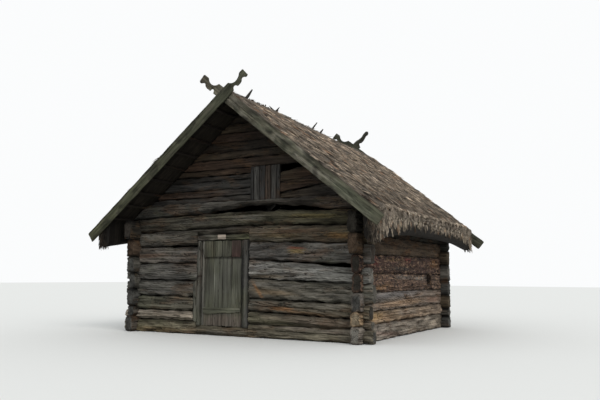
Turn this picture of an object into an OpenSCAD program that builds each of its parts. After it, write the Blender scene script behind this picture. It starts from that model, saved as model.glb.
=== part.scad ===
/* [Walls] */
// Width over the outer faces of the side walls
wall_w = 5100; // [4700:50:5600]
// Depth over the outer faces of the front and rear walls
wall_d = 4500; // [4100:50:5000]
// Thickness of the hewn logs
log_t = 180; // [160:5:200]
// How far the log ends stand out past a corner
log_proj = 160; // [120:10:200]
// Extra length of the two upper side logs that stand out under the eaves
corbel_step = 60; // [0:10:90]
// Diameter of a log's round over its height
log_crown = 1.1; // [1.06:0.01:1.2]
// Open joint between two logs of one wall
chink = 10; // [4:1:14]
// Clearance beside a log in its notch
notch_gap = 3; // [1:1:5]
// Heights of the front and rear logs, from the sill up
front_log_h = [240, 200, 260, 330, 330, 340, 290, 275]; // [200:5:340]
// Heights of the side logs, from the sill up
side_log_h = [290, 225, 335, 315, 335, 345, 355]; // [220:5:360]
// Height of the first log of the gable
gable_log_h = 250; // [200:10:280]
// Depth of the rotten hollow under the front gable log
rot_depth = 110; // [40:10:140]
// Length of that hollow
rot_len = 2600; // [1200:100:2800]
// Middle of that hollow, from the middle of the wall
rot_x = 640; // [200:20:800]

/* [Doorway] */
// Left side of the doorway, from the middle of the wall
door_x0 = -826; // [-900:2:-760]
// Clear width between the door posts
door_clear = 926; // [860:2:980]
// Height of the worn threshold
threshold_z = 170; // [150:5:200]
// Clear height from threshold to lintel
door_h = 1600; // [1560:5:1640]
// Width of the left door post
post_left_w = 90; // [80:2:150]
// How much broader the foot of the left post is, to the left
post_foot_w = 80; // [40:5:110]
// Number of the log from the sill up beside which that foot ends
post_foot_rows = 3; // [2:1:4]
// Width of the right door post
post_right_w = 175; // [120:5:200]
// Height of the lintel
lintel_h = 115; // [90:5:130]

/* [Door] */
// Set-back of the leaf from the face of the wall
leaf_recess = 35; // [25:1:45]
// Thickness of the door boards
leaf_t = 36; // [30:1:42]
// Number of door boards
leaf_boards = 4; // [3:1:6]
// Open joint between door boards
leaf_joint = 4; // [2:1:6]
// Gap under and over the leaf
leaf_gap = 9; // [6:1:14]
// Gap beside the leaf, at the latch side
leaf_side_gap = 8; // [6:1:12]
// Diameter of the pivot stile
stile_d = 60; // [50:2:70]
// Gap between pivot stile and post
stile_gap = 11; // [8:1:16]
// Diameter of the stile's pivots
pin_d = 36; // [28:1:42]
// Clearance of a pivot in its socket
pin_clear = 2; // [1:0.5:4]
// Depth of a pivot socket
socket_depth = 42; // [30:1:55]
// Gap under the lower pivot
pin_seat = 0.3; // [0.2:0.1:0.6]
// Thickness of the cover boards on the leaf
cover_t = 20; // [14:1:24]
// Height of the upper cover board
cover_top_h = 296; // [240:2:340]
// Height of the lower cover rail
cover_low_h = 112; // [80:2:140]
// Height of the lower rail above the foot of the leaf
cover_low_z = 228; // [180:2:280]
// Thickness of the inner ledges
ledge_t = 39; // [30:1:44]
// Height of the inner ledges
ledge_h = 110; // [80:5:140]
// Start of the ledges, from the pivot
ledge_start = 135; // [120:5:200]

/* [Vent] */
// Distance of the vent hole from the front wall's face
vent_from_front = 3345; // [2600:5:3600]
// Width of the vent hole
vent_w = 300; // [150:10:400]
// Depth of the hole below the top of its log
vent_h = 205; // [100:5:240]

/* [Floors] */
// Height of the floor joists
joist_h = 110; // [90:5:120]
// Width of the floor joists
joist_w = 150; // [110:5:180]
// Number of floor joists
joists = 4; // [3:1:6]
// Thickness of floor and loft boards
board_t = 35; // [25:1:38]
// Width of a floor or loft board
board_w = 230; // [180:5:280]
// Open joint between boards
board_joint = 6; // [3:1:10]
// Height of the loft beams
beam_h = 160; // [130:5:180]
// Width of the loft beams
beam_w = 150; // [120:5:180]
// Number of loft beams
beams = 3; // [2:1:3]
// Bearing of a loft beam on the top log
beam_bearing = 125; // [90:5:150]
// How far the loft beams rise over the top log
beam_rise = 10; // [0:2:20]
// Gap between the floors and the walls
floor_edge = 8; // [4:1:20]

/* [Roof] */
// Rise of the roof over its run
roof_slope = 0.79; // [0.74:0.01:0.84]
// Depth of the notch by which a rafter sits over the outer edge of the top log
rafter_bite = 75; // [40:5:90]
// Thickness of the thatch, across the slope
thatch_t = 228; // [180:4:260]
// Diameter of the rafters
rafter_d = 110; // [90:2:120]
// Number of rafter pairs
rafter_pairs = 4; // [3:1:4]
// Gap between the rafters' tails and the hanging thatch
tail_gap = 25; // [15:5:60]
// Diameter of the battens
batten_d = 55; // [40:1:60]
// Number of battens on a slope
battens = 9; // [6:1:12]
// Distance of the top batten from the ridge
batten_top_x = 190; // [120:10:260]
// Distance of the lowest batten from the tail of the rafters
batten_low_gap = 70; // [50:5:120]
// Diameter of the ridge pole
ridge_pole_d = 70; // [50:2:80]
// Front overhang of the roof, to the face of its boards
front_overhang = 535; // [450:5:600]
// Rear overhang of the roof, to the face of its boards
rear_overhang = 785; // [600:5:850]
// Reach of the thatch past the side walls
eave_over = 495; // [440:5:600]
// Radius of the round thatch eave
eave_r = 150; // [120:5:160]
// Radius of the hanging lip under the eave
lip_r = 140; // [110:5:145]
// Drop of the lip's middle below the eave's middle
lip_drop = 168; // [100:4:200]
// Clearance between the thatch and what it lies on
thatch_seat = 0.3; // [0.2:0.1:0.5]
// How deep the straw has worn at the ridge, at even steps from front to rear
ridge_worn = [100, 100, 108, 138, 170, 215, 205]; // [60:5:220]
// Distance from the ridge where that wear ends
ridge_worn_run = 1300; // [900:50:1600]
// How deep the straw has worn along the front and rear edge of the roof
verge_worn = 80; // [40:5:90]
// Breadth of that worn edge
verge_run = 420; // [280:10:600]
// How much lower the lip hangs, at even steps from front to rear
lip_hang = [190, 45, 0, 0, 0, 25, 120]; // [0:5:220]
// Spacing of the bundles that stand out of the thatch
bundle_w = 530; // [440:10:620]
// How far the bundles stand out, and the hollows between them lie back
bundle_out = 18; // [0:2:22]

/* [Ridge stakes] */
// Diameter of the ridge stakes
stake_d = 44; // [30:2:50]
// Diameter of a stake's tip
stake_tip_d = 14; // [8:2:20]
// Distances of the stakes that lean to the right, from the front of the roof
stakes_right = [780, 1890, 3510, 3910]; // [300:10:5200]
// Distances of the stakes that lean to the left, from the front of the roof
stakes_left = [1810]; // [300:10:5200]
// Lengths of the stakes that lean to the right, above the ridge
out_right = [240, 125, 200, 125]; // [60:5:260]
// Lengths of the stakes that lean to the left, above the ridge
out_left = [165]; // [60:5:260]
// Length of a stake in the thatch
stake_in = 150; // [120:5:180]
// Lean of a stake from upright, in degrees
stake_lean = 42; // [38:1:52]

/* [Bargeboards] */
// Thickness of a bargeboard
barge_t = 35; // [28:1:42]
// Width of a bargeboard
barge_w = 215; // [190:5:240]
// How far the boards' upper edges cross under the thatch's ridge
barge_drop = 90; // [60:5:120]
// Reach of the front left board past the wall
past_front_left = 760; // [600:10:900]
// Reach of the front right board past the wall
past_front_right = 590; // [500:10:800]
// Reach of the rear boards past the walls
past_rear = 780; // [600:10:900]
// Length of the right front finial past the crossing of the boards
head_len_right = 515; // [480:5:600]
// Length of the other finials past the crossing of the boards
head_len_left = 572; // [500:5:620]

/* [Gable] */
// Thickness of the gable planks
plank_t = 45; // [35:1:55]
// Open joint between gable planks
plank_joint = 6; // [3:1:10]
// Bearing of the planks on the gable log
plank_bearing = 40; // [36:1:60]
// Left side of the hatch, from the middle of the wall
hatch_x0 = 200; // [100:10:300]
// Width of the hatch with its posts
hatch_w = 650; // [560:10:720]
// Height of the hatch
hatch_h = 640; // [560:5:700]
// Width of a hatch post
hatch_post_w = 70; // [50:2:90]
// Number of hatch boards
hatch_boards_n = 4; // [3:1:5]
// Thickness of the hatch boards
hatch_board_t = 30; // [24:1:36]
// How far the hatch stands out past the planks
hatch_out = 15; // [5:1:25]
// Seams of the planks left of the hatch, above the gable log
seams_left = [115, 245, 415, 520]; // [100:5:560]
// Seams of the planks over the hatch, above its top
seams_top = [190, 340, 515, 690, 860]; // [150:5:1000]
// Spacing of the rear gable's seams
rear_plank_h = 178; // [150:2:220]

/* [Hidden] */
$fn = 48;

weathered = [0.36, 0.34, 0.31];
weathered_dark = [0.25, 0.23, 0.20];
weathered_brown = [0.42, 0.33, 0.25];
board_grey = [0.34, 0.34, 0.29];
lichen = [0.32, 0.35, 0.25];
straw = [0.45, 0.38, 0.30];
pole = [0.38, 0.32, 0.24];

front_rows = len(front_log_h);
side_rows = len(side_log_h);

function sum_to(list, n) = n <= 0 ? 0 : sum_to(list, n - 1) + list[n - 1];

// Heights of the logs' edges, from the ground
front_z = [for (i = [0:front_rows]) sum_to(front_log_h, i)];
side_z = [for (i = [0:side_rows]) sum_to(side_log_h, i)];
plate_z = side_z[side_rows];
gable_z = front_z[front_rows];
planks_z = gable_z + gable_log_h;

// Seats in the corners, halfway between the edges of crossing logs
function seat_under_front(n) = n == 0 ? 0 : (front_z[n] + side_z[n]) / 2;
function seat_over_front(n) = n < side_rows ? (side_z[n] + front_z[n + 1]) / 2 : front_z[n + 1];

half_w = wall_w / 2;
inner_x = half_w - log_t;
front_y = -(wall_d + rear_overhang - front_overhang) / 2;
rear_y = front_y + wall_d;
front_in = front_y + log_t;
rear_in = rear_y - log_t;
mid_y = (front_y + rear_y) / 2;
roof_front = front_y - front_overhang;
roof_rear = rear_y + rear_overhang;

// The slope's angle, and the height of each layer under the ridge, up from the top logs
slope_a = atan(roof_slope);
rafter_under = plate_z - rafter_bite + roof_slope * half_w;
rafter_mid = rafter_under + rafter_d / 2 / cos(slope_a);
rafter_top = rafter_under + rafter_d / cos(slope_a);
thatch_under = rafter_top + batten_d / cos(slope_a);
ridge_z = thatch_under + thatch_t / cos(slope_a);
wood_under = rafter_top - 5;
barge_apex_z = ridge_z - barge_drop;
eave_run = half_w + eave_over;
rafter_run = eave_run - eave_r - lip_r - tail_gap - rafter_d / 2 * sin(slope_a);
far = 12000;

// Doorway and door
door_x1 = door_x0 + door_clear;
lintel_z = threshold_z + door_h;
post_left_x = door_x0 - post_left_w;
post_right_x = door_x1 + post_right_w;
door_rows = [for (i = [1:front_rows - 1]) if (front_z[i + 1] <= lintel_z) i];
foot_x = post_left_x - post_foot_w;
foot_z = front_z[post_foot_rows + 1];
pivot_x = door_x0 + stile_gap + stile_d / 2;
leaf_x0 = pivot_x + stile_d / 2;
leaf_x1 = door_x1 - leaf_side_gap;
leaf_y = front_y + leaf_recess;
pivot_y = leaf_y + leaf_t * 0.7;
leaf_z0 = threshold_z + leaf_gap;
leaf_z1 = lintel_z - leaf_gap;

// Gable
plank_y = front_in - plank_bearing;
hatch_x1 = hatch_x0 + hatch_w;
hatch_z = planks_z + hatch_h;
end_rafter_in = plank_t - plank_bearing;

// A log's end view: round above and below, hewn flat on both sides
module hewn_profile(h, t) {
    intersection() {
        circle(d = h * log_crown);
        square([t, h], center = true);
    }
}

// A log that lies along X
module log_x(x0, x1, y_mid, z0, z1) {
    translate([x0, y_mid, (z0 + z1) / 2])
        rotate([90, 0, 90])
            linear_extrude(x1 - x0)
                hewn_profile(z1 - z0, log_t);
}

// A log that lies along Y
module log_y(x_mid, y0, y1, z0, z1) {
    translate([x_mid, y1, (z0 + z1) / 2])
        rotate([90, 0, 0])
            linear_extrude(y1 - y0)
                hewn_profile(z1 - z0, log_t);
}

// What a corner notch takes off a log: all but the neck between two seats
module notch(x_mid, y_mid, seat_low, seat_high) {
    w = log_t + 2 * notch_gap;
    for (z = [seat_low - far, seat_high])
        translate([x_mid - w / 2, y_mid - w / 2, z])
            cube([w, w, far]);
}

// Row n of the front or rear wall, from x0 to x1
module cross_row(n, x0, x1, y_mid) {
    z0 = n == 0 ? 0 : front_z[n] + chink / 2;
    z1 = n == front_rows - 1 ? gable_z : front_z[n + 1] - chink / 2;
    difference() {
        log_x(x0, x1, y_mid, z0, z1);
        for (s = [-1, 1])
            notch(s * (half_w - log_t / 2), y_mid, seat_under_front(n), seat_over_front(n));
    }
}

// Row n of a side wall, at side s
module side_row(n, s) {
    z0 = n == 0 ? 0 : side_z[n] + chink / 2;
    z1 = n == side_rows - 1 ? plate_z : side_z[n + 1] - chink / 2;
    reach = log_proj + corbel_step * max(0, n - side_rows + 3);
    x_mid = s * (half_w - log_t / 2);
    difference() {
        log_y(x_mid, front_y - reach, rear_y + reach, z0, z1);
        for (y_mid = [front_y + log_t / 2, rear_y - log_t / 2])
            notch(x_mid, y_mid, seat_over_front(n), seat_under_front(n + 1));
        if (n == side_rows - 1)
            beam_pockets(s);
    }
}

// Pockets in a top log for the ends of the loft beams
module beam_pockets(s) {
    for (y = beam_places)
        translate([s * inner_x, y, plate_z + beam_rise - beam_h / 2])
            cube([2 * beam_bearing, beam_w + 2 * notch_gap, beam_h], center = true);
}

beam_places = [for (i = [1:beams]) mid_y + wall_d * (i / (beams + 1) - 0.5) * 1.15];

// Keeps what lies under the battens
module under_roof() {
    intersection() {
        children();
        translate([0, far / 2, 0])
            rotate([90, 0, 0])
                linear_extrude(far)
                    polygon([[0, wood_under], [far, wood_under - far * roof_slope],
                        [-far, wood_under - far * roof_slope]]);
    }
}

module sill_front() {
    color(weathered_brown)
    difference() {
        cross_row(0, -half_w - log_proj, half_w + log_proj, front_y + log_t / 2);
        translate([post_left_x, front_y - 1, threshold_z])
            cube([post_right_x - post_left_x, log_t + 2, far]);
        translate([pivot_x, pivot_y, threshold_z - socket_depth])
            cylinder(d = pin_d + 2 * pin_clear, h = far);
    }
}

module front_logs_left() {
    color(weathered)
    for (n = door_rows)
        cross_row(n, -half_w - log_proj, n <= post_foot_rows ? foot_x : post_left_x, front_y + log_t / 2);
}

module front_logs_right() {
    color(weathered)
    for (n = door_rows)
        cross_row(n, post_right_x, half_w + log_proj, front_y + log_t / 2);
}

module front_logs_upper() {
    color(weathered)
    difference() {
        under_roof()
            for (n = [len(door_rows) + 1:front_rows - 1])
                cross_row(n, -half_w - log_proj, half_w + log_proj, front_y + log_t / 2);
        translate([post_left_x, front_y - 1, 0])
            cube([post_right_x - post_left_x, log_t + 2, lintel_z + lintel_h]);
    }
}

// The log that carries the gable, with its ends cut to the roof
module gable_log(y_mid) {
    under_roof()
        log_x(-half_w, half_w, y_mid, gable_z, planks_z);
}

module gable_log_front() {
    rot_r = (pow(rot_len / 2, 2) + pow(rot_depth, 2)) / (2 * rot_depth);
    color(weathered)
    difference() {
        gable_log(front_y + log_t / 2);
        translate([rot_x, front_y - 1, gable_z + rot_depth - rot_r])
            rotate([-90, 0, 0])
                cylinder(r = rot_r, h = log_t + 2, $fn = 240);
    }
}

module gable_log_rear() {
    color(weathered_dark)
    gable_log(rear_y - log_t / 2);
}

module left_wall() {
    color(weathered)
    for (n = [0:side_rows - 1])
        side_row(n, -1);
}

module right_wall() {
    vent_top = side_z[4];
    color(weathered_brown)
    difference() {
        for (n = [0:side_rows - 1])
            side_row(n, 1);
        translate([inner_x - 1, front_y + vent_from_front, vent_top - vent_h])
            cube([log_t + 2, vent_w, vent_h]);
    }
}

module rear_wall() {
    color(weathered_dark)
    under_roof()
        for (n = [0:front_rows - 1])
            cross_row(n, -half_w - log_proj, half_w + log_proj, rear_y - log_t / 2);
}

// The left post is a crook: its broad foot stands on the sill and narrows beside the third log
module door_post_left() {
    color(board_grey)
    translate([0, front_y + log_t, 0])
        rotate([90, 0, 0])
            linear_extrude(log_t)
                polygon([[post_left_x, threshold_z], [door_x0, threshold_z], [door_x0, lintel_z],
                    [post_left_x, lintel_z], [post_left_x, foot_z], [foot_x, foot_z - post_foot_w / 2],
                    [foot_x, front_z[1] - chink / 2], [post_left_x, front_z[1] - chink / 2]]);
}

module door_post_right() {
    color(board_grey)
    translate([door_x1, front_y, threshold_z])
        cube([post_right_w, log_t, door_h]);
}

module lintel() {
    color(board_grey)
    difference() {
        translate([post_left_x, front_y, lintel_z])
            cube([post_right_x - post_left_x, log_t, lintel_h]);
        translate([pivot_x, pivot_y, lintel_z - 1])
            cylinder(d = pin_d + 2 * pin_clear, h = socket_depth + 1);
    }
}

module door_boards() {
    pitch = (leaf_x1 - leaf_x0 + leaf_joint) / leaf_boards;
    color(board_grey)
    for (i = [0:leaf_boards - 1])
        translate([leaf_x0 + i * pitch, leaf_y, leaf_z0])
            cube([pitch - leaf_joint, leaf_t, leaf_z1 - leaf_z0]);
}

// Round stile with a pivot at each end
module door_stile() {
    pin_z0 = threshold_z - socket_depth + pin_seat;
    pin_z1 = lintel_z + socket_depth - leaf_gap;
    color(board_grey)
    translate([pivot_x, pivot_y, 0]) {
        translate([0, 0, leaf_z0])
            cylinder(d = stile_d, h = leaf_z1 - leaf_z0);
        translate([0, 0, pin_z0])
            cylinder(d = pin_d, h = pin_z1 - pin_z0);
    }
}

module door_ledges() {
    x0 = pivot_x + ledge_start;
    color(weathered_dark)
    for (z = [leaf_z0 + cover_low_z, leaf_z1 - cover_top_h + ledge_h / 2])
        translate([x0, leaf_y + leaf_t, z])
            cube([leaf_x1 - 12 - x0, ledge_t, ledge_h]);
}

module door_covers() {
    x0 = leaf_x0 + 5;
    w = leaf_x1 - 7 - x0;
    color(board_grey) {
        translate([x0, leaf_y - cover_t, leaf_z1 - cover_top_h])
            cube([w, cover_t, cover_top_h]);
        translate([x0, leaf_y - cover_t, leaf_z0 + cover_low_z])
            cube([w, cover_t, cover_low_h]);
    }
}

module floor_joists() {
    span = rear_in - front_in;
    color(weathered_dark)
    for (i = [0:joists - 1])
        translate([-inner_x, front_in + 250 + i * (span - 500) / (joists - 1) - joist_w / 2, 0])
            cube([2 * inner_x, joist_w, joist_h]);
}

// A row of boards along Y over the inside of the building
module board_row(z) {
    w = 2 * (inner_x - floor_edge);
    n = floor((w + board_joint) / (board_w + board_joint));
    pitch = (w + board_joint) / n;
    for (i = [0:n - 1])
        translate([i * pitch - w / 2, front_in + floor_edge, z])
            cube([pitch - board_joint, rear_in - front_in - 2 * floor_edge, board_t]);
}

module floor_boards() {
    color(weathered_brown) board_row(joist_h);
}

module loft_beams() {
    color(weathered_dark)
    for (y = beam_places)
        translate([0, y, plate_z + beam_rise - beam_h / 2])
            cube([2 * (inner_x + beam_bearing - notch_gap), beam_w, beam_h], center = true);
}

module loft_boards() {
    color(weathered_brown) board_row(plate_z + beam_rise);
}

// The right rafters: round poles notched over the top log
module rafter_row() {
    span = rear_in - front_in - 2 * end_rafter_in - rafter_d;
    for (i = [0:rafter_pairs - 1])
        difference() {
            intersection() {
                translate([0, front_in + end_rafter_in + rafter_d / 2 + i * span / (rafter_pairs - 1),
                    rafter_mid])
                    rotate([0, 90 + slope_a, 0])
                        translate([0, 0, -rafter_d])
                            cylinder(d = rafter_d, h = rafter_run / cos(slope_a) + rafter_d);
                translate([0, -far / 2, 0])
                    cube([far, far, far]);
            }
            translate([inner_x - notch_gap, -far / 2, 0])
                cube([log_t + 2 * notch_gap, far, plate_z]);
        }
}

module rafters_right() {
    color(pole) rafter_row();
}

module rafters_left() {
    color(pole) mirror([1, 0, 0]) rafter_row();
}

// Height of the ridge pole, in the crotch over the rafters
ridge_pole_z = rafter_top + ridge_pole_d / 2 / cos(slope_a);

module ridge_pole() {
    color(pole)
    translate([0, roof_front + 2 * barge_t, ridge_pole_z])
        rotate([-90, 0, 0])
            cylinder(d = ridge_pole_d, h = roof_rear - roof_front - 4 * barge_t);
}

// Battens of the right slope, from the back of the front board to the rear one
module batten_row(board_back) {
    x_low = rafter_run - batten_low_gap;
    for (i = [0:battens - 1]) {
        x = batten_top_x + i * (x_low - batten_top_x) / (battens - 1);
        translate([x, roof_front + board_back, rafter_top - roof_slope * x + batten_d / 2 / cos(slope_a)])
            rotate([-90, 0, 0])
                cylinder(d = batten_d, h = roof_rear - roof_front - 2 * board_back);
    }
}

module battens_right() {
    color(pole) batten_row(2 * barge_t);
}

module battens_left() {
    color(pole) mirror([1, 0, 0]) batten_row(barge_t);
}

// Points of an arc that turns clockwise
function arc(x, z, r, from, to, step) = [for (a = [from:-step:to]) [x + r * cos(a), z + r * sin(a)]];

// A value from a list that is spread evenly over the length of the thatch, at a share of it
function along_roof(list, share) =
    lookup(share, [for (i = [0:len(list) - 1]) [i / (len(list) - 1), list[i]]]);

// The thatch's length between the boards, and the steps in which its uneven face is made
thatch_y0 = roof_front + 2 * barge_t + thatch_seat;
thatch_y1 = roof_rear - 2 * barge_t - thatch_seat;
eave_x = eave_run - eave_r;
eave_z = ridge_z - roof_slope * eave_x - eave_r / cos(slope_a);
slope_end = eave_x + eave_r * sin(slope_a);
slope_steps = ceil(2 * slope_end / cos(slope_a) / bundle_w);
length_steps = ceil(2 * (thatch_y1 - thatch_y0) / bundle_w);
edge_step = 30;

function share_at(j) = j / length_steps;

// How far the straw has worn down at x, at a share of the roof's length
function worn_at(x, share) = max(
    along_roof(ridge_worn, share) * pow(max(0, 1 - x / ridge_worn_run), 2),
    verge_worn * max(0, 1 - min(share, 1 - share) * (thatch_y1 - thatch_y0) / verge_run));

// Bundles and hollows alternate both ways, some bolder than others
function bundle_at(i, j) = i == 0 || i == slope_steps || j == 0 || j == length_steps ? 0 :
    bundle_out * cos(180 * (i + j)) * (0.75 + 0.25 * sin(67 * i + 113 * j));

function slope_point(i, j) =
    let (x = slope_end * i / slope_steps)
    [x, ridge_z - roof_slope * x - worn_at(x, share_at(j)) + bundle_at(i, j)];

// End view of the right thatch at step j: a slab with a round eave and a hanging lip,
// and half an eight-sided groove that fits over the ridge pole
function thatch_section(j) =
    let (under = thatch_under + thatch_seat, lip_z = eave_z - lip_drop - along_roof(lip_hang, share_at(j)),
        room = ridge_pole_d / 2 + thatch_seat, flat = room * tan(22.5))
    concat([for (i = [0:slope_steps]) slope_point(i, j)],
        arc(eave_x, eave_z, eave_r, 90 - slope_a - edge_step / 2, 0, edge_step),
        arc(eave_x, lip_z, lip_r, 0, -180, edge_step),
        [[eave_x - lip_r, under - roof_slope * (eave_x - lip_r)], [room, under - roof_slope * room],
        [room, ridge_pole_z + flat], [flat, ridge_pole_z + room], [0, ridge_pole_z + room]]);

// Faces of an end of n points, split at the groove so that none folds back over itself
function end_faces(n) = [[0, 1, n - 2, n - 1], [1, n - 4, n - 3, n - 2], [n - 5, n - 4, each [1:n - 6]]];

// One slope of thatch behind the boards, as a skin over its end views
module thatch_slope() {
    n = len(thatch_section(0));
    rear = length_steps * n;
    points = [for (j = [0:length_steps]) for (p = thatch_section(j))
        [p[0], thatch_y0 + (thatch_y1 - thatch_y0) * share_at(j), p[1]]];
    sides = [for (j = [0:length_steps - 1]) for (k = [0:n - 1])
        let (a = j * n + k, b = j * n + (k + 1) % n)
        each [[a, a + n, b + n], [a, b + n, b]]];
    rear_faces = [for (f = end_faces(n)) [rear + f[0], for (k = [len(f) - 1:-1:1]) rear + f[k]]];
    polyhedron(points, concat(end_faces(n), rear_faces, sides));
}

module thatch_right() {
    color(straw)
    difference() {
        thatch_slope();
        stakes(thatch_seat);
    }
}

module thatch_left() {
    color(straw)
    difference() {
        mirror([1, 0, 0]) thatch_slope();
        stakes(thatch_seat);
    }
}

// Split, pointed stakes driven through the ridge, leaning to either side, with room for them all round
module stakes(room) {
    for (lean = [1, -1]) {
        places = lean > 0 ? stakes_right : stakes_left;
        outs = lean > 0 ? out_right : out_left;
        for (i = [0:len(places) - 1]) {
            y = roof_front + places[i];
            z = ridge_z - along_roof(ridge_worn, (y - thatch_y0) / (thatch_y1 - thatch_y0));
            translate([0, y, z])
                rotate([0, lean * stake_lean, 0]) {
                    translate([0, 0, -stake_in])
                        cylinder(d = stake_d + 2 * room, h = stake_in + stake_d, $fn = 6);
                    translate([0, 0, stake_d])
                        cylinder(d1 = stake_d, d2 = stake_tip_d, h = outs[i] - stake_d, $fn = 6);
                }
        }
    }
}

module ridge_stakes() {
    color(pole) stakes(0);
}

// What the carver takes off a board of length 100 past the crossing and width 100:
// the hollow over the neck, the notch under it and the throat; [u, v, radius]
carved = [[54, 31, 76], [36, -93, 21], [79, -95, 24]];

// Outline of a board with a horse's head, along U from the crossing, V up
module horse_outline(reach, past) {
    u = past / 100;
    v = barge_w / 100;
    difference() {
        polygon([[-reach / cos(slope_a), -barge_w], [-reach / cos(slope_a), 0], [54 * u, 0],
            [79 * u, -15 * v], [97 * u, -14 * v], [99 * u, -17 * v], [100 * u, -88 * v],
            [98 * u, -98 * v], [90 * u, -95 * v], [88 * u, -86 * v], [84 * u, -84 * v],
            [74 * u, -86 * v], [66 * u, -97 * v], [58 * u, -101 * v], [50 * u, -99 * v],
            [44 * u, -barge_w]]);
        for (c = carved)
            translate([c[0] * u, c[1] * v])
                circle(r = c[2] * v);
    }
}

// Outline of the board whose head has weathered down to a plain curved arm
module arm_outline(reach, past) {
    u = past / 100;
    v = barge_w / 100;
    polygon([[-reach / cos(slope_a), -barge_w], [-reach / cos(slope_a), 0], [22 * u, 0],
        [40 * u, -7 * v], [55 * u, -9 * v], [72 * u, 2 * v], [88 * u, 4 * v], [95 * u, -3 * v],
        [97 * u, -18 * v], [94 * u, -38 * v], [87 * u, -47 * v], [76 * u, -44 * v], [64 * u, -55 * v],
        [52 * u, -65 * v], [36 * u, -67 * v], [28 * u, -53 * v], [22 * u, -60 * v], [18 * u, -barge_w]]);
}

// Stands an end view up as a board that rises to the right, with its back at y
module bargeboard(y) {
    translate([0, y, barge_apex_z])
        rotate([90, -slope_a, 0])
            linear_extrude(barge_t)
                children();
}

module bargeboard_front_left() {
    color(lichen)
    bargeboard(roof_front + barge_t)
        horse_outline(half_w + past_front_left, head_len_right);
}

module bargeboard_front_right() {
    color(lichen)
    mirror([1, 0, 0])
        bargeboard(roof_front + 2 * barge_t)
            horse_outline(half_w + past_front_right, head_len_left);
}

module bargeboard_rear_left() {
    color(lichen)
    bargeboard(roof_rear)
        arm_outline(half_w + past_rear, head_len_right);
}

module bargeboard_rear_right() {
    color(lichen)
    mirror([1, 0, 0])
        bargeboard(roof_rear - barge_t)
            horse_outline(half_w + past_rear, head_len_left);
}

// The gable's area under the roof, from z0 to z1 and x0 to x1
module gable_area(x0, x1, z0, z1) {
    intersection() {
        polygon([[0, wood_under], [far, wood_under - far * roof_slope],
            [-far, wood_under - far * roof_slope]]);
        translate([x0, z0])
            square([x1 - x0, z1 - z0]);
    }
}

// Raises an end view to planks, with their front at y
module planks_at(y) {
    translate([0, y + plank_t, 0])
        rotate([90, 0, 0])
            linear_extrude(plank_t)
                children();
}

// Planks between seams, given as heights from the lowest to the top
module plank_rows(x0, x1, seams) {
    for (i = [0:len(seams) - 2])
        gable_area(x0, x1, seams[i] + (i == 0 ? 0 : plank_joint), seams[i + 1]);
}

module gable_planks_left() {
    color(weathered_brown)
    planks_at(plank_y)
        plank_rows(-half_w, hatch_x0, concat([planks_z], [for (s = seams_left) planks_z + s], [hatch_z]));
}

// Planks that have slipped, so they rise to the right; [left low, right low, left high, right high]
slipped = [[0, 0, 97, 297], [130, 322, 303, 508], [311, 516, 495, 711]];

module gable_planks_right() {
    run = 1500;
    color(weathered_brown)
    planks_at(plank_y)
        for (p = slipped)
            intersection() {
                gable_area(hatch_x1, half_w, planks_z, hatch_z);
                polygon([[hatch_x1, planks_z + p[0]], [hatch_x1 + run, planks_z + p[1]],
                    [hatch_x1 + run, planks_z + p[3]], [hatch_x1, planks_z + p[2]]]);
            }
}

module gable_planks_top() {
    overlap = 35;
    color(weathered_dark)
    planks_at(plank_y) {
        plank_rows(-half_w, half_w, concat([hatch_z + plank_joint], [for (s = seams_top) hatch_z + s],
            [wood_under]));
        gable_area(hatch_x1 + plank_joint, half_w, hatch_z - overlap, hatch_z + 2 * plank_joint);
    }
}

module hatch_posts() {
    color(board_grey)
    for (x = [hatch_x0, hatch_x1 - hatch_post_w])
        translate([x, plank_y - hatch_out, planks_z])
            cube([hatch_post_w, plank_t + hatch_out, hatch_h]);
}

module hatch_boards() {
    x0 = hatch_x0 + hatch_post_w;
    pitch = (hatch_w - 2 * hatch_post_w) / hatch_boards_n;
    color(board_grey)
    for (i = [0:hatch_boards_n - 1])
        translate([x0 + i * pitch + plank_joint / 2, plank_y - hatch_out + 5, planks_z])
            cube([pitch - plank_joint, hatch_board_t, hatch_h - plank_joint]);
}

module rear_gable_planks() {
    n = floor((wood_under - planks_z - rear_plank_h) / rear_plank_h);
    color(weathered_dark)
    planks_at(rear_in + plank_bearing - plank_t)
        plank_rows(-half_w, half_w, concat([for (i = [0:n]) planks_z + i * rear_plank_h], [wood_under]));
}

sill_front();
front_logs_left();
front_logs_right();
front_logs_upper();
gable_log_front();
left_wall();
right_wall();
rear_wall();
gable_log_rear();
door_post_left();
door_post_right();
lintel();
door_boards();
door_stile();
door_ledges();
door_covers();
floor_joists();
floor_boards();
loft_beams();
loft_boards();
rafters_left();
rafters_right();
ridge_pole();
battens_left();
battens_right();
thatch_left();
thatch_right();
ridge_stakes();
gable_planks_left();
gable_planks_right();
gable_planks_top();
hatch_posts();
hatch_boards();
rear_gable_planks();
bargeboard_front_left();
bargeboard_front_right();
bargeboard_rear_left();
bargeboard_rear_right();
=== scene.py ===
import math

import bpy
import numpy as np
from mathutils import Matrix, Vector
from mathutils.bvhtree import BVHTree


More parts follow.
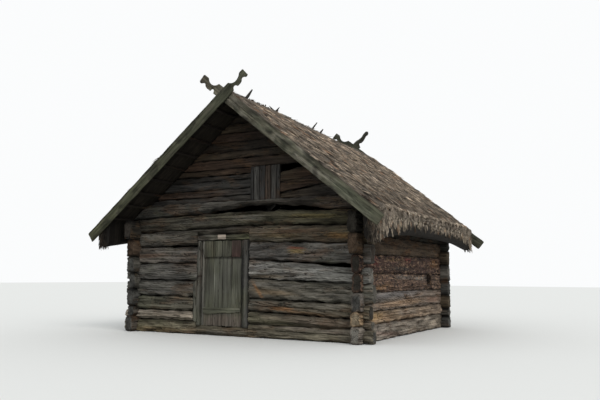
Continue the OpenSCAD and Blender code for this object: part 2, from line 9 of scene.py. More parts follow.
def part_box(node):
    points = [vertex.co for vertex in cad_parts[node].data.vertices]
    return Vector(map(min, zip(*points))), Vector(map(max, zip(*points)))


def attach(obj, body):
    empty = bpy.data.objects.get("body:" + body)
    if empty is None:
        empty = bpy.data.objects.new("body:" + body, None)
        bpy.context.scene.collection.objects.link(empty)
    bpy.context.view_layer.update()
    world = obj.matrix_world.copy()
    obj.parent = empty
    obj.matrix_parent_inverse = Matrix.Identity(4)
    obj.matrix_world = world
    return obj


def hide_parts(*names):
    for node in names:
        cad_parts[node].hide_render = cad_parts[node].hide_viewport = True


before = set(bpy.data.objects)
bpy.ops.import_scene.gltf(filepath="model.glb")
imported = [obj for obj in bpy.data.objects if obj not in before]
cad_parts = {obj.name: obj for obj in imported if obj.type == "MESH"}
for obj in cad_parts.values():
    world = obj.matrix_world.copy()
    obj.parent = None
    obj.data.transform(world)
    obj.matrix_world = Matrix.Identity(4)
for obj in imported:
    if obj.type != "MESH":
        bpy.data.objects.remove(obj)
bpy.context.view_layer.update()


# Front wall: pine logs hewn flat on both faces and laid dry, each let down over the log of the
# side wall that crosses it at the corner. Sun and rain have split them and turned them grey.
sill_low, sill_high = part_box("sill_front")
wall_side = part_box("right_wall")[1].x
wall_front = sill_low.y
log_t = sill_high.y - sill_low.y
log_end = sill_high.x
corner = wall_side - log_t / 2
notch_half = log_t / 2 + 0.003
post_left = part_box("lintel")[0].x
foot_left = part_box("door_post_left")[0].x
post_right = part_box("door_post_right")[1].x
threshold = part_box("door_post_left")[0].z
lintel_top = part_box("lintel")[1].z
roof_slope = 0.79
under_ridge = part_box("gable_planks_top")[1].z

# Heights of the seams between the logs: the front wall's at its left corner, both door posts and
# its right corner, and the side walls' at their front and rear corners
front_x = (-wall_side, post_left, post_right, wall_side)
front_seams = ((0, 0, 0, 0), (0.250, 0.244, 0.236, 0.222), (0.440, 0.430, 0.470, 0.385),
               (0.720, 0.705, 0.700, 0.640), (1.020, 1.020, 1.065, 0.975),
               (1.345, 1.345, 1.410, 1.305), (1.670, 1.700, 1.735, 1.665),
               (1.955, 2.000, 2.035, 1.985), (2.235, 2.285, 2.305, 2.255))
side_seams = ((0, 0), (0.290, 0.300), (0.508, 0.525), (0.838, 0.846), (1.166, 1.160),
              (1.480, 1.530), (1.835, 1.850), (2.200, 2.200))

grey = (0.105, 0.097, 0.083)
silver = (0.165, 0.153, 0.133)
slate = (0.068, 0.066, 0.060)
rust = (0.130, 0.066, 0.034)
amber = (0.200, 0.135, 0.062)
olive = (0.082, 0.078, 0.046)
dark = (0.036, 0.032, 0.026)


def swell(rng, lengths):
    """Smooth unevenness of size 1 over a face: nine waves of about the given lengths."""
    waves = 9
    turn = rng.uniform(0, 2 * math.pi, waves)
    stretch = rng.uniform(0.5, 1.9, waves) * 2 * math.pi
    start = rng.uniform(0, 2 * math.pi, waves)

    def height(u, v):
        total = 0
        for t, k, p in zip(turn, stretch, start):
            total = total + np.sin(k * math.cos(t) * u / lengths[0] + k * math.sin(t) * v / lengths[1] + p)
        return math.sqrt(2 / waves) * total
    return height


def level(height):
    """A level edge of a timber."""
    return lambda s: 0 * s + height


def shifted(edge, rise):
    """An edge moved up by a rise."""
    return lambda s: edge(s) + rise


def stations(span, spacing, seats, steps):
    """Places of a timber's rings: even steps, both sides of every sharp change, and close at its ends."""
    s0, s1 = span
    sharp = [middle + side * notch_half for middle, _, _ in seats for side in (-1, 1)] + list(steps)
    special = [s0, s1] + [place + side * 0.001 for place in sharp for side in (-1, 1)]

    def clear(place, room):
        return min(abs(place - other) for other in special) > room
    even = [s for s in np.arange(s0, s1, spacing) if clear(s, spacing / 3)]
    close = [s for inwards in (0.006, 0.018) for s in (s0 + inwards, s1 - inwards) if clear(s, 0.004)]
    return np.array(sorted(special + even + close))[:, None]


def outline_shares(outer, inner, edge):
    """Points of a timber's ring, as shares of its half thickness and half height, outer face first."""
    across = np.linspace(1, -1, edge + 2)[1:-1]
    a = np.concatenate([np.ones(outer), across, -np.ones(inner), -across])
    z = np.concatenate([np.linspace(-1, 1, outer), np.ones(edge),
                        np.linspace(1, -1, inner), -np.ones(edge)])
    return a, z


def uneven(rng, s, a, z, a_share, z_share, wave):
    """A timber's points with waves over its faces and along its edges."""
    face = swell(rng, (0.7, 0.16))
    small = swell(rng, (0.16, 0.05))
    lower = swell(rng, (0.45, 0.2))
    upper = swell(rng, (0.45, 0.2))
    a = a + np.sign(a_share) * np.abs(a_share) ** 3 * wave * (0.7 * face(s, z) + 0.4 * small(s, z))
    edge = np.abs(z_share) ** 3 * wave * 0.8
    z = z + np.where(z_share > 0, edge, 0) * upper(s, a)
    z = z - np.where(z_share < 0, edge, 0) * lower(s, a)
    return a, z


def split_open(rng, s, a, a_share, z_share, span, splits, split_depth):
    """Cuts checks into a timber's outer face, along the grain."""
    for _ in range(splits):
        centre = rng.uniform(*span)
        reach = rng.uniform(0.12, 0.5) * max(span[1] - span[0], 0.6)
        line = rng.uniform(-0.85, 0.85) + rng.uniform(-0.15, 0.15) * (s - centre) / reach
        line = line + 0.04 * np.sin(s * rng.uniform(4, 11) + rng.uniform(0, 6))
        window = np.clip(1 - ((s - centre) / reach) ** 2, 0, 1)
        width = rng.uniform(0.03, 0.07)
        cut = split_depth * rng.uniform(0.5, 1.2) * window * np.exp(-((z_share - line) / width) ** 2)
        a = a - np.where(a_share > 0.99, cut, 0)
    return a


def skin(rings, around):
    """Faces between neighbouring rings of points."""
    index = np.arange(rings * around).reshape(rings, around)
    after = np.roll(index, -1, axis=1)
    return np.stack([index[:-1], after[:-1], after[1:], index[1:]], axis=-1).reshape(-1, 4).tolist()


def capped(corners, around, faces):
    """Closes both ends of a timber, each with two smaller rings and a middle point."""
    first = np.arange(around)
    last = len(corners) - around + first
    for rim, order in ((first, -1), (last, 1)):
        rim = rim[::order]
        middle = corners[rim].mean(axis=0)
        previous = rim
        for share in (0.7, 0.38):
            ring = middle + (corners[rim] - middle) * share
            ring[:, 0] += order * 0.003 * (1 - share)
            fresh = len(corners) + first
            corners = np.concatenate([corners, ring])
            band = np.stack([previous, np.roll(previous, -1), np.roll(fresh, -1), fresh], axis=-1)
            faces = faces + band.tolist()
            previous = fresh
        corners = np.concatenate([corners, middle[None]])
        faces = faces + [[p, q, len(corners) - 1] for p, q in zip(previous, np.roll(previous, -1))]
    return corners, faces


def weathered(rng, corners, z_share, span, depth, tints=(grey, grey), end_tints=(), grime=0.45, spots=()):
    """Tints of a timber's points, from one end's to the other's, and darker along its joints, as painted
    shade.

    A spot is a patch of another colour on the outer face: (s, z, length, height, lean in degrees,
    colour, strength). Where its strength is 1, it goes right through the timber.
    """
    around = len(z_share)
    cap = 2 * around + 1
    shell = len(corners) - 2 * cap
    along, out, up = corners[:, :1], corners[:, 1:2], corners[:, 2:]
    share = np.clip((along - span[0]) / (span[1] - span[0]), 0, 1)
    tint = np.array(tints[0]) * (1 - share) + np.array(tints[1]) * share
    tint = tint * np.exp(0.16 * swell(rng, (0.9, 0.25))(along, up))
    # Painted shade: darker towards its top and bottom edges, where it meets its neighbours in the joints
    tint[:shell] *= 1 - grime * np.abs(np.tile(z_share, shell // around))[:, None] ** 9
    ragged = np.exp(0.6 * swell(rng, (0.10, 0.05))(along, up))
    for spot_s, spot_z, long, tall, lean, colour, strength in spots:
        turn = math.radians(lean)
        ds = along - spot_s
        dz = up - spot_z
        u = (ds * math.cos(turn) + dz * math.sin(turn)) / long
        v = (dz * math.cos(turn) - ds * math.sin(turn)) / tall
        there = (out > sum(depth) / 2) | (strength == 1)
        weight = strength * np.exp(-ragged * (u ** 4 + v ** 4)) * there
        tint = tint * (1 - weight) + np.array(colour) * weight
    for i, end_tint in enumerate(end_tints):
        tint[shell + i * cap:shell + (i + 1) * cap] = end_tint
    return tint * rng.uniform(0.92, 1.08)


def timber(span, low, high, depth, rng, seats=(), steps=(), spacing=0.03, points=(26, 5, 4), crown=0,
           worn=0.012, wave=0.006, splits=8, split_depth=0.012, hollows=(), skew=None, lowest=None,
           **colours):
    """One hewn timber along S, with its thickness along A and its height along Z.

    low and high give its lower and upper edge along S, depth its inner and outer face, and points
    how many points its outer face, inner face and edges have. A seat is a place where it is let
    into a crossing timber: (middle, lowest, highest). A hollow is (s, z, length, height, depth).
    skew says where its two ends are at each height, if they are cut slantwise.
    """
    s0, s1 = span
    inner, outer = depth
    s = stations(span, spacing, seats, steps)
    a_share, z_share = outline_shares(*points)
    bottom = low(s)
    top = high(s)
    half = (top - bottom) / 2
    thick = (outer - inner) / 2
    drop = worn + 0 * half
    if crown:
        drop = np.maximum(drop, half - np.sqrt(np.maximum((crown * half) ** 2 - thick ** 2, 0)))
    drop = np.minimum(drop, half * 0.6)
    end = np.minimum(s - s0, s1 - s)
    taper = 1 - 0.10 * np.exp(-end / 0.012)
    z = (bottom + top) / 2 + z_share * (half - drop * a_share ** 4) * taper
    a = (inner + outer) / 2 + a_share * (thick - worn * 0.5 * np.abs(z_share) ** 8) * taper
    a, z = uneven(rng, s, a, z, a_share, z_share, wave)
    a = split_open(rng, s, a, a_share, z_share, span, splits, split_depth)
    for hollow_s, hollow_z, long, tall, deep in hollows:
        cut = deep * np.exp(-np.abs((s - hollow_s) / long) ** 3 - np.abs((z - hollow_z) / tall) ** 3)
        a = a - np.where(a_share > -0.5, cut, 0)
    for middle, bed, cover in seats:
        z = np.where(np.abs(s - middle) < notch_half, np.clip(z, bed, cover), z)
    if lowest is not None:
        z = np.maximum(z, lowest)
    rough = swell(rng, (0.05, 0.05))(a, z) * 0.005
    along = s + rough * np.exp(-end / 0.004) * np.where(s - s0 < s1 - s, -1, 1)
    if skew:
        share = (along - s0) / (s1 - s0)
        along = skew[0](z) * (1 - share) + skew[1](z) * share
    rings, around = z.shape
    shell = skin(rings, around)
    corners, faces = capped(np.stack([along, a, z], axis=-1).reshape(-1, 3), around, shell)
    tint = weathered(rng, corners, z_share, span, depth, **colours)
    return corners, faces, tint, np.arange(len(faces)) >= len(shell)


def joined(meshes):
    """Points, faces and tints of some meshes as one."""
    corners, faces, tints = [], [], []
    start = 0
    for some_corners, some_faces, some_tints in meshes:
        corners.append(some_corners)
        faces += [[start + i for i in face] for face in some_faces]
        tints.append(some_tints)
        start += len(some_corners)
    return np.concatenate(corners), faces, np.concatenate(tints)


def finished(name, mesh_parts, materials, stands_for=None, body="house", ends=None, sharp=40):
    """Makes the object, with one tint at each point, and sets it on its body.

    It stands for a node of the frame, if one is named. ends are the faces of the second material.
    """
    corners, faces, tints = mesh_parts
    mesh = bpy.data.meshes.new(name)
    mesh.from_pydata(corners.tolist(), [], faces)
    mesh.validate()
    layer = mesh.attributes.new("tint", "FLOAT_COLOR", "POINT")
    opaque = np.append(tints, np.ones((len(tints), 1)), axis=1)
    layer.data.foreach_set("color", opaque.astype(np.float32).ravel())
    for material in materials:
        mesh.materials.append(material)
    if ends is not None:
        mesh.polygons.foreach_set("material_index", ends.astype(np.int32))
    mesh.polygons.foreach_set("use_smooth", np.ones(len(mesh.polygons), bool))
    mesh.set_sharp_from_angle(angle=math.radians(sharp))
    made = bpy.data.objects.new(name, mesh)
    bpy.context.scene.collection.objects.link(made)
    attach(made, body)
    if stands_for:
        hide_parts(stands_for)


def assemble(name, timbers, axes, materials, stands_for=None, body="house"):
    """Joins timbers into one piece, their ends in the second material.

    axes are the directions of S, A and Z and the place of their zero, or a list of these for each timber.
    """
    meshes = []
    each = axes if isinstance(axes, list) else [axes] * len(timbers)
    for (corners, faces, tints, _), directions in zip(timbers, each):
        along, out, up, zero = (np.array(v, float) for v in directions)
        if np.dot(np.cross(out, up), along) < 0:
            faces = [face[::-1] for face in faces]
        placed = zero + corners[:, :1] * along + corners[:, 1:2] * out + corners[:, 2:3] * up
        meshes.append((placed, faces, tints))
    ends = np.concatenate([made[3] for made in timbers])
    finished(name, joined(meshes), materials, stands_for, body, ends)


def node(tree, kind, inputs=(), **settings):
    """One shader node. An input is a number, a colour or another node's output."""
    made = tree.nodes.new(kind)
    for key, value in settings.items():
        setattr(made, key, value)
    for key, value in dict(inputs).items():
        if isinstance(value, bpy.types.NodeSocket):
            tree.links.new(value, made.inputs[key])
        else:
            made.inputs[key].default_value = value
    return made


def reckon(tree, how, *values):
    """The result of a sum on numbers and outputs."""
    return node(tree, "ShaderNodeMath", dict(enumerate(values)), operation=how).outputs[0]


def times(tree, *values):
    """The product of numbers and outputs."""
    product = values[0]
    for value in values[1:]:
        product = reckon(tree, "MULTIPLY", product, value)
    return product


def fade(tree, value, low, high, to_low=0.0, to_high=1.0):
    """Value drawn out from low..high to to_low..to_high, and held there."""
    return node(tree, "ShaderNodeMapRange", {"Value": value, "From Min": low, "From Max": high,
                                             "To Min": to_low, "To Max": to_high}).outputs[0]


def blend_colour(tree, share, first, second):
    """Mixes two colours by a share."""
    return node(tree, "ShaderNodeMix", {0: share, 6: first, 7: second}, data_type="RGBA").outputs[2]


def shaded(tree, colour, shade):
    """A colour made darker or lighter."""
    return node(tree, "ShaderNodeVectorMath", {0: colour, 1: shade}, operation="MULTIPLY").outputs[0]


def object_place(tree):
    """Places on a piece, in metres."""
    return node(tree, "ShaderNodeTexCoord").outputs["Object"]


def own_tint(tree):
    """The tint that the mesh has at each of its points."""
    return node(tree, "ShaderNodeAttribute", attribute_name="tint").outputs["Color"]


def grain_noise(tree, place, stretch, detail=5.0, rough=0.6, bend=0.0, shift=0.0):
    """Noise drawn out along the grain: stretch is its fineness, per metre, along X, Y and Z."""
    scaled = node(tree, "ShaderNodeMapping", {"Vector": place, "Scale": stretch, "Location": (shift,) * 3})
    return node(tree, "ShaderNodeTexNoise", {"Vector": scaled.outputs[0], "Scale": 1.0, "Detail": detail,
                                             "Roughness": rough, "Distortion": bend}).outputs[0]


def new_material(name, roughness, specular):
    """A dull node material, with its tree and its shader."""
    material = bpy.data.materials.new(name)
    material.use_nodes = True
    shader = material.node_tree.nodes["Principled BSDF"]
    shader.inputs["Roughness"].default_value = roughness
    shader.inputs["Specular IOR Level"].default_value = specular
    return material, material.node_tree, shader


def coat(tree, shader, colour, height, strength, relief):
    """Gives a shader its colour, and fine relief of some metres' height."""
    tree.links.new(colour, shader.inputs["Base Color"])
    bump = node(tree, "ShaderNodeBump", {"Height": height, "Strength": strength, "Distance": relief})
    tree.links.new(bump.outputs[0], shader.inputs["Normal"])


def wood_material(name, along, stain=(0.120, 0.066, 0.034), moss=(0.078, 0.085, 0.045), stains=0.5,
                  mossy=0.25, bleach=0.5, checks=1.0, relief=0.007, lean=0.0, patches=1.0, flaky=0.16,
                  base=own_tint):
    """Weathered wood, whose grain runs along X, Y or Z (0, 1, 2), or leans up from X by an angle.

    stains and mossy say how much of it is stained and overgrown, patches how small the stains
    are, and flaky how soft their edges are. base gives the colour under them.
    """
    material, tree, shader = new_material(name, 0.92, 0.18)
    place = object_place(tree)
    if lean:
        place = node(tree, "ShaderNodeMapping", {"Vector": place, "Rotation": (0, lean, 0)}).outputs[0]

    def stretched(long, cross):
        return tuple(long if axis == along else cross for axis in range(3))
    fibre = grain_noise(tree, place, stretched(3.0, 110.0), 6.0, 0.65)
    streak = grain_noise(tree, place, stretched(1.1, 26.0), 5.0, 0.6, 0.5, 3.0)
    patch = grain_noise(tree, place, stretched(1.3 * patches, 4.5 * patches), 4.0, 0.6, 0.8, 7.0)
    damp = grain_noise(tree, place, stretched(1.6 * patches, 3.2 * patches), 5.0, 0.65, 0.5, 11.0)
    split = grain_noise(tree, place, stretched(0.8, 17.0), 3.0, 0.5, 0.6, 19.0)
    stained = times(tree, fade(tree, patch, 0.54 - flaky / 8, 0.54 + flaky), stains)
    colour = blend_colour(tree, stained, base(tree), (*stain, 1))
    grown_over = times(tree, fade(tree, damp, 0.54, 0.54 + flaky), mossy)
    colour = blend_colour(tree, grown_over, colour, (*moss, 1))
    light = fade(tree, streak, 0.31, 0.69, 0.48, 1.42 + 0.4 * bleach)
    fine = fade(tree, fibre, 0.25, 0.75, 0.72, 1.28)
    away = reckon(tree, "ABSOLUTE", reckon(tree, "SUBTRACT", split, 0.5))
    # The checks are painted near black, as painted shade inside them
    crack = times(tree, fade(tree, away, 0.004, 0.020, 1.0, 0.0), fade(tree, patch, 0.40, 0.55), checks)
    colour = shaded(tree, colour, times(tree, light, fine))
    colour = blend_colour(tree, crack, colour, (0.008, 0.007, 0.006, 1))
    ridges = reckon(tree, "ADD", times(tree, streak, 1.2), times(tree, fibre, 0.5))
    coat(tree, shader, colour, reckon(tree, "SUBTRACT", ridges, times(tree, crack, 0.8)), 0.9, relief)
    return material


def end_grain_material(name):
    """Sawn or chopped end of a timber over its own tint: porous, with splits from its heart."""
    material, tree, shader = new_material(name, 0.95, 0.15)
    place = object_place(tree)
    pores = node(tree, "ShaderNodeTexNoise", {"Vector": place, "Scale": 60.0, "Detail": 6.0}).outputs[0]
    cloud = node(tree, "ShaderNodeTexNoise", {"Vector": place, "Scale": 9.0, "Detail": 4.0}).outputs[0]
    cells = node(tree, "ShaderNodeTexVoronoi", {"Vector": place, "Scale": 11.0},
                 feature="DISTANCE_TO_EDGE").outputs["Distance"]
    # The splits are painted near black, as painted shade inside them
    gap = fade(tree, cells, 0.0, 0.05, 1.0, 0.0)
    shade = times(tree, fade(tree, cloud, 0.3, 0.7, 0.5, 1.5), fade(tree, pores, 0.3, 0.7, 0.7, 1.3))
    colour = shaded(tree, own_tint(tree), shade)
    colour = blend_colour(tree, times(tree, gap, 0.7), colour, (0.010, 0.008, 0.006, 1))
    coat(tree, shader, colour, times(tree, pores, cells), 0.8, 0.008)
    return material


def seam(table, row, places):
    """Height of a seam along the wall."""
    return lambda s: np.interp(s, places, table[row])


def at_corner(table, place):
    """Heights of a wall's seams at one of its corners."""
    return [row[place] for row in table]


def neck(fronts, sides, row):
    """Where a log of the front or rear wall lies in a corner: its neck's lowest and highest height."""
    low = (fronts[row] + sides[row]) / 2 if row else 0.0
    high = (sides[row] + fronts[row + 1]) / 2 if row < len(sides) - 1 else fronts[row + 1] + 0.1
    return low, high


def under_roof(z):
    """How far from the middle the underside of the roof is, at a height."""
    return (under_ridge - z) / roof_slope


def roof_reach(z):
    """How far from the middle a top log may reach, at a height."""
    return np.minimum(log_end, under_roof(z))


log_wood_x = wood_material("log_wood_across", 0)
log_ends = end_grain_material("log_end_grain")
front_rng = np.random.default_rng(21)
front_depth = (-wall_front - log_t, -wall_front)
front_axes = ((1, 0, 0), (0, -1, 0), (0, 0, 1), (0, 0, 0))
round_back = 1.1
hewn = dict(crown=round_back, splits=16, wave=0.011, worn=0.018)
cut_to_roof = (lambda z: -roof_reach(z), roof_reach)


def front_log(row, span, tints, low=None, high=None, **more):
    """A log of the front wall, from its seam below to its seam above, with a chink at each."""
    chink = 0.006
    seats = [(x, *neck(at_corner(front_seams, place), at_corner(side_seams, 0), row))
             for place, x in ((0, -corner), (-1, corner)) if span[0] < x < span[1]]
    under = low or shifted(seam(front_seams, row, front_x), chink if row else 0)
    over = high or shifted(seam(front_seams, row + 1, front_x), -chink)
    return timber(span, under, over, front_depth, front_rng, seats=seats, tints=tints, **hewn, **more)


def over_doorway(s):
    """Whether a place lies between the outer sides of the two door posts."""
    return (s > post_left) & (s < post_right)


def sill_top(s):
    """The sill's upper edge, notched to the threshold between the posts."""
    return np.where(over_doorway(s), threshold, seam(front_seams, 1, front_x)(s) - 0.004)


def over_lintel(s):
    """The lower edge of the log that lies on the lintel."""
    return np.where(over_doorway(s), lintel_top + 0.004, seam(front_seams, 6, front_x)(s) + 0.004)


def bowed(row, places, gaps):
    """Upper edge of a log that has bowed, and leaves some gaps under the next one."""
    return lambda s: seam(front_seams, row + 1, front_x)(s) - np.interp(s, places, gaps)


sill = front_log(0, (-log_end, log_end), ((0.138, 0.120, 0.081), (0.154, 0.135, 0.101)), high=sill_top,
                 steps=(post_left, post_right), end_tints=(slate, slate), lowest=0.0,
                 spots=[(-1.9, 0.06, 0.7, 0.05, 0, amber, 0.45), (-0.3, 0.05, 0.5, 0.05, 0, silver, 0.5),
                        (1.6, 0.20, 0.8, 0.04, -2, (0.19, 0.16, 0.13), 0.6)])
assemble("sill_log", [sill], front_axes, (log_wood_x, log_ends), "sill_front")

# Rows over the sill: how far each log falls short of the longest at its outer end, its tints,
# its end's tint, and the patches where sun, rot, moss or a fresh cut show
chip = (0.250, 0.130, 0.060)
left_rows = (
    (0.00, ((0.410, 0.355, 0.290), (0.390, 0.330, 0.260)), slate, ()),
    (0.11, ((0.090, 0.088, 0.062), (0.120, 0.108, 0.084)), dark,
     [(-1.25, 0.62, 0.35, 0.05, 6, silver, 0.5)]),
    (0.02, ((0.084, 0.080, 0.070), (0.112, 0.104, 0.090)), dark,
     [(-1.8, 0.80, 0.6, 0.05, 0, (0.150, 0.140, 0.125), 0.5)]),
    (0.01, ((0.118, 0.110, 0.098), (0.116, 0.109, 0.097)), slate,
     [(-2.3, 1.22, 0.35, 0.04, 0, silver, 0.5)]),
    (0.16, ((0.126, 0.109, 0.092), (0.103, 0.092, 0.082)), dark,
     [(-2.1, 1.50, 0.55, 0.045, 2, (0.150, 0.090, 0.060), 0.55), (-1.3, 1.55, 0.4, 0.06, 0, silver, 0.5)]))
right_rows = (
    (0.03, ((0.152, 0.132, 0.094), (0.243, 0.200, 0.152)), grey,
     [(0.9, 0.28, 0.5, 0.05, -3, olive, 0.7), (1.7, 0.31, 0.5, 0.05, -2, (0.180, 0.140, 0.110), 0.5)]),
    (0.06, ((0.101, 0.095, 0.078), (0.142, 0.120, 0.086)), dark,
     [(0.98, 0.535, 0.24, 0.035, -3, chip, 0.9),
      (1.45, 0.47, 0.40, 0.03, -4, (0.150, 0.100, 0.055), 0.7),
      (1.834, 0.505, 0.028, 0.020, 0, (0.010, 0.008, 0.006), 0.95),
      (1.9, 0.60, 0.4, 0.04, -2, silver, 0.4)]),
    (0.00, ((0.118, 0.104, 0.082), (0.130, 0.122, 0.100)), grey,
     [(0.47, 0.86, 0.15, 0.030, -52, chip, 0.95),
      (0.22, 0.84, 0.14, 0.12, 0, (0.070, 0.062, 0.052), 0.8),
      (0.80, 0.82, 0.40, 0.05, -3, (0.160, 0.115, 0.070), 0.7),
      (0.9, 0.95, 0.5, 0.035, -2, silver, 0.6),
      (1.85, 0.78, 0.45, 0.04, 0, silver, 0.4)]),
    (0.05, ((0.180, 0.170, 0.152), (0.215, 0.208, 0.188)), silver,
     [(1.462, 1.154, 0.030, 0.022, 0, (0.012, 0.010, 0.009), 0.95),
      (0.45, 1.26, 0.28, 0.06, 0, (0.225, 0.215, 0.200), 0.6),
      (1.75, 1.22, 0.35, 0.07, 0, (0.235, 0.230, 0.215), 0.55),
      (0.7, 1.10, 0.4, 0.03, -2, amber, 0.35)]),
    (0.02, ((0.093, 0.086, 0.078), (0.129, 0.121, 0.109)), (0.062, 0.050, 0.040),
     [(1.27, 1.55, 0.17, 0.042, -3, (0.215, 0.155, 0.070), 0.9),
      (1.26, 1.606, 0.17, 0.020, -3, (0.200, 0.075, 0.045), 0.9),
      (0.35, 1.60, 0.22, 0.05, 0, (0.055, 0.050, 0.046), 0.7),
      (1.9, 1.62, 0.4, 0.05, -3, silver, 0.5)]))
open_joints = {("left_front_logs", 5): ((-2.4, -1.7, -1.0), (0.016, 0.030, 0.042)),
               ("right_front_logs", 4): ((0.4, 1.3, 2.2), (0.006, 0.030, 0.058))}
for name, rows_here, node_name in (("left_front_logs", left_rows, "front_logs_left"),
                                   ("right_front_logs", right_rows, "front_logs_right")):
    logs = []
    for row, (short, tints, end_tint, spots) in enumerate(rows_here, 1):
        if rows_here is left_rows:
            span = (-log_end + short, foot_left if row < 4 else post_left)
        else:
            span = (post_right, log_end - short)
        joint = open_joints.get((name, row))
        logs.append(front_log(row, span, tints, high=bowed(row, *joint) if joint else None,
                              end_tints=(end_tint, end_tint), spots=spots))
    assemble(name, logs, front_axes, (log_wood_x, log_ends), node_name)

# The two logs over the door. The upper one is cut to the roof at both ends, and rot has eaten into it
logs = [front_log(6, (-log_end + 0.14, log_end), (grey, (0.074, 0.058, 0.038)), low=over_lintel,
                  steps=(post_left, post_right), end_tints=(dark, (0.128, 0.084, 0.042)),
                  spots=[(2.15, 1.80, 0.26, 0.05, -3, (0.210, 0.125, 0.055), 0.9),
                         (1.2, 1.90, 0.5, 0.04, 0, rust, 0.4), (0.9, 1.83, 0.4, 0.04, -2, amber, 0.4),
                         (-2.0, 1.88, 0.4, 0.05, 0, silver, 0.45)]),
        front_log(7, (-log_end, log_end), ((0.060, 0.054, 0.044), (0.066, 0.059, 0.035)),
                  end_tints=(dark, dark), skew=cut_to_roof,
                  spots=[(0.25, 2.18, 0.35, 0.05, 0, silver, 0.5), (-0.9, 2.14, 0.5, 0.06, 0, grey, 0.6),
                         # The near-black spot over the hollow at 0.69 is painted shade inside it
                         (0.69, 2.09, 0.12, 0.06, 0, (0.012, 0.011, 0.009), 0.9),
                         (1.6, 2.16, 0.45, 0.04, -2, (0.120, 0.095, 0.040), 0.7)],
                  hollows=[(0.69, 2.10, 0.09, 0.05, 0.035), (0.30, 2.24, 0.5, 0.03, 0.03)])]
assemble("upper_front_logs", logs, front_axes, (log_wood_x, log_ends), "front_logs_upper")


# Side walls: hewn like the front, each log half a log higher than the front's. Their two topmost
# logs stand out further, to carry the eaves, and two logs of the right wall have kept their bark.
side_rng = np.random.default_rng(22)
wall_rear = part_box("rear_wall")[1].y
side_places = (wall_front, wall_rear)
side_depth = (wall_side - log_t, wall_side)
side_reach = log_end - wall_side
corbel_step = 0.06
vent_front = wall_front + 3.345
vent_rear = vent_front + 0.30
vent_low = 0.960
vent_log = 3
log_wood_y = wood_material("log_wood_deep", 1, stains=0.75, mossy=0.15)
log_bark = wood_material("log_bark", 1, stain=(0.290, 0.190, 0.125), moss=(0.016, 0.015, 0.015), stains=0.8,
                         mossy=0.9, bleach=0.4, patches=6.0, flaky=0.04)
brown = (0.098, 0.075, 0.050)

# Heights of the rear wall's seams at its left and right corners
rear_seams = ((0, 0), (0.235, 0.250), (0.450, 0.430), (0.690, 0.715), (1.040, 1.020),
              (1.350, 1.375), (1.710, 1.690), (1.985, 2.000), (2.265, 2.265))


def side_neck(fronts, sides, row):
    """Where a log of a side wall lies in a corner, between two logs of the front or rear wall."""
    return neck(fronts, sides, row)[1], neck(fronts, sides, row + 1)[0]


def side_log(row, side, tints, short=0.0, **more):
    """A log of the right (1) or left (-1) wall. The vent is cut into the top of one of the right wall's."""
    reach = side_reach + corbel_step * max(0, row - len(side_seams) + 4)
    place = 0 if side < 0 else -1
    seats = [(y, *side_neck(at_corner(crossing, place), at_corner(side_seams, end), row))
             for y, crossing, end in ((wall_front + log_t / 2, front_seams, 0),
                                      (wall_rear - log_t / 2, rear_seams, 1))]
    vented = side > 0 and row == vent_log
    overlap = 0.003
    under = shifted(seam(side_seams, row, side_places), -overlap if row else 0)
    full = shifted(seam(side_seams, row + 1, side_places), overlap)

    def over(s):
        return np.where((s > vent_front) & (s < vent_rear), vent_low, full(s)) if vented else full(s)
    span = (wall_front - reach + short, wall_rear + reach - short / 2)
    steps = (vent_front, vent_rear) if vented else ()
    return timber(span, under, over, side_depth, side_rng, seats=seats, steps=steps, tints=tints,
                  lowest=0.0, **more)


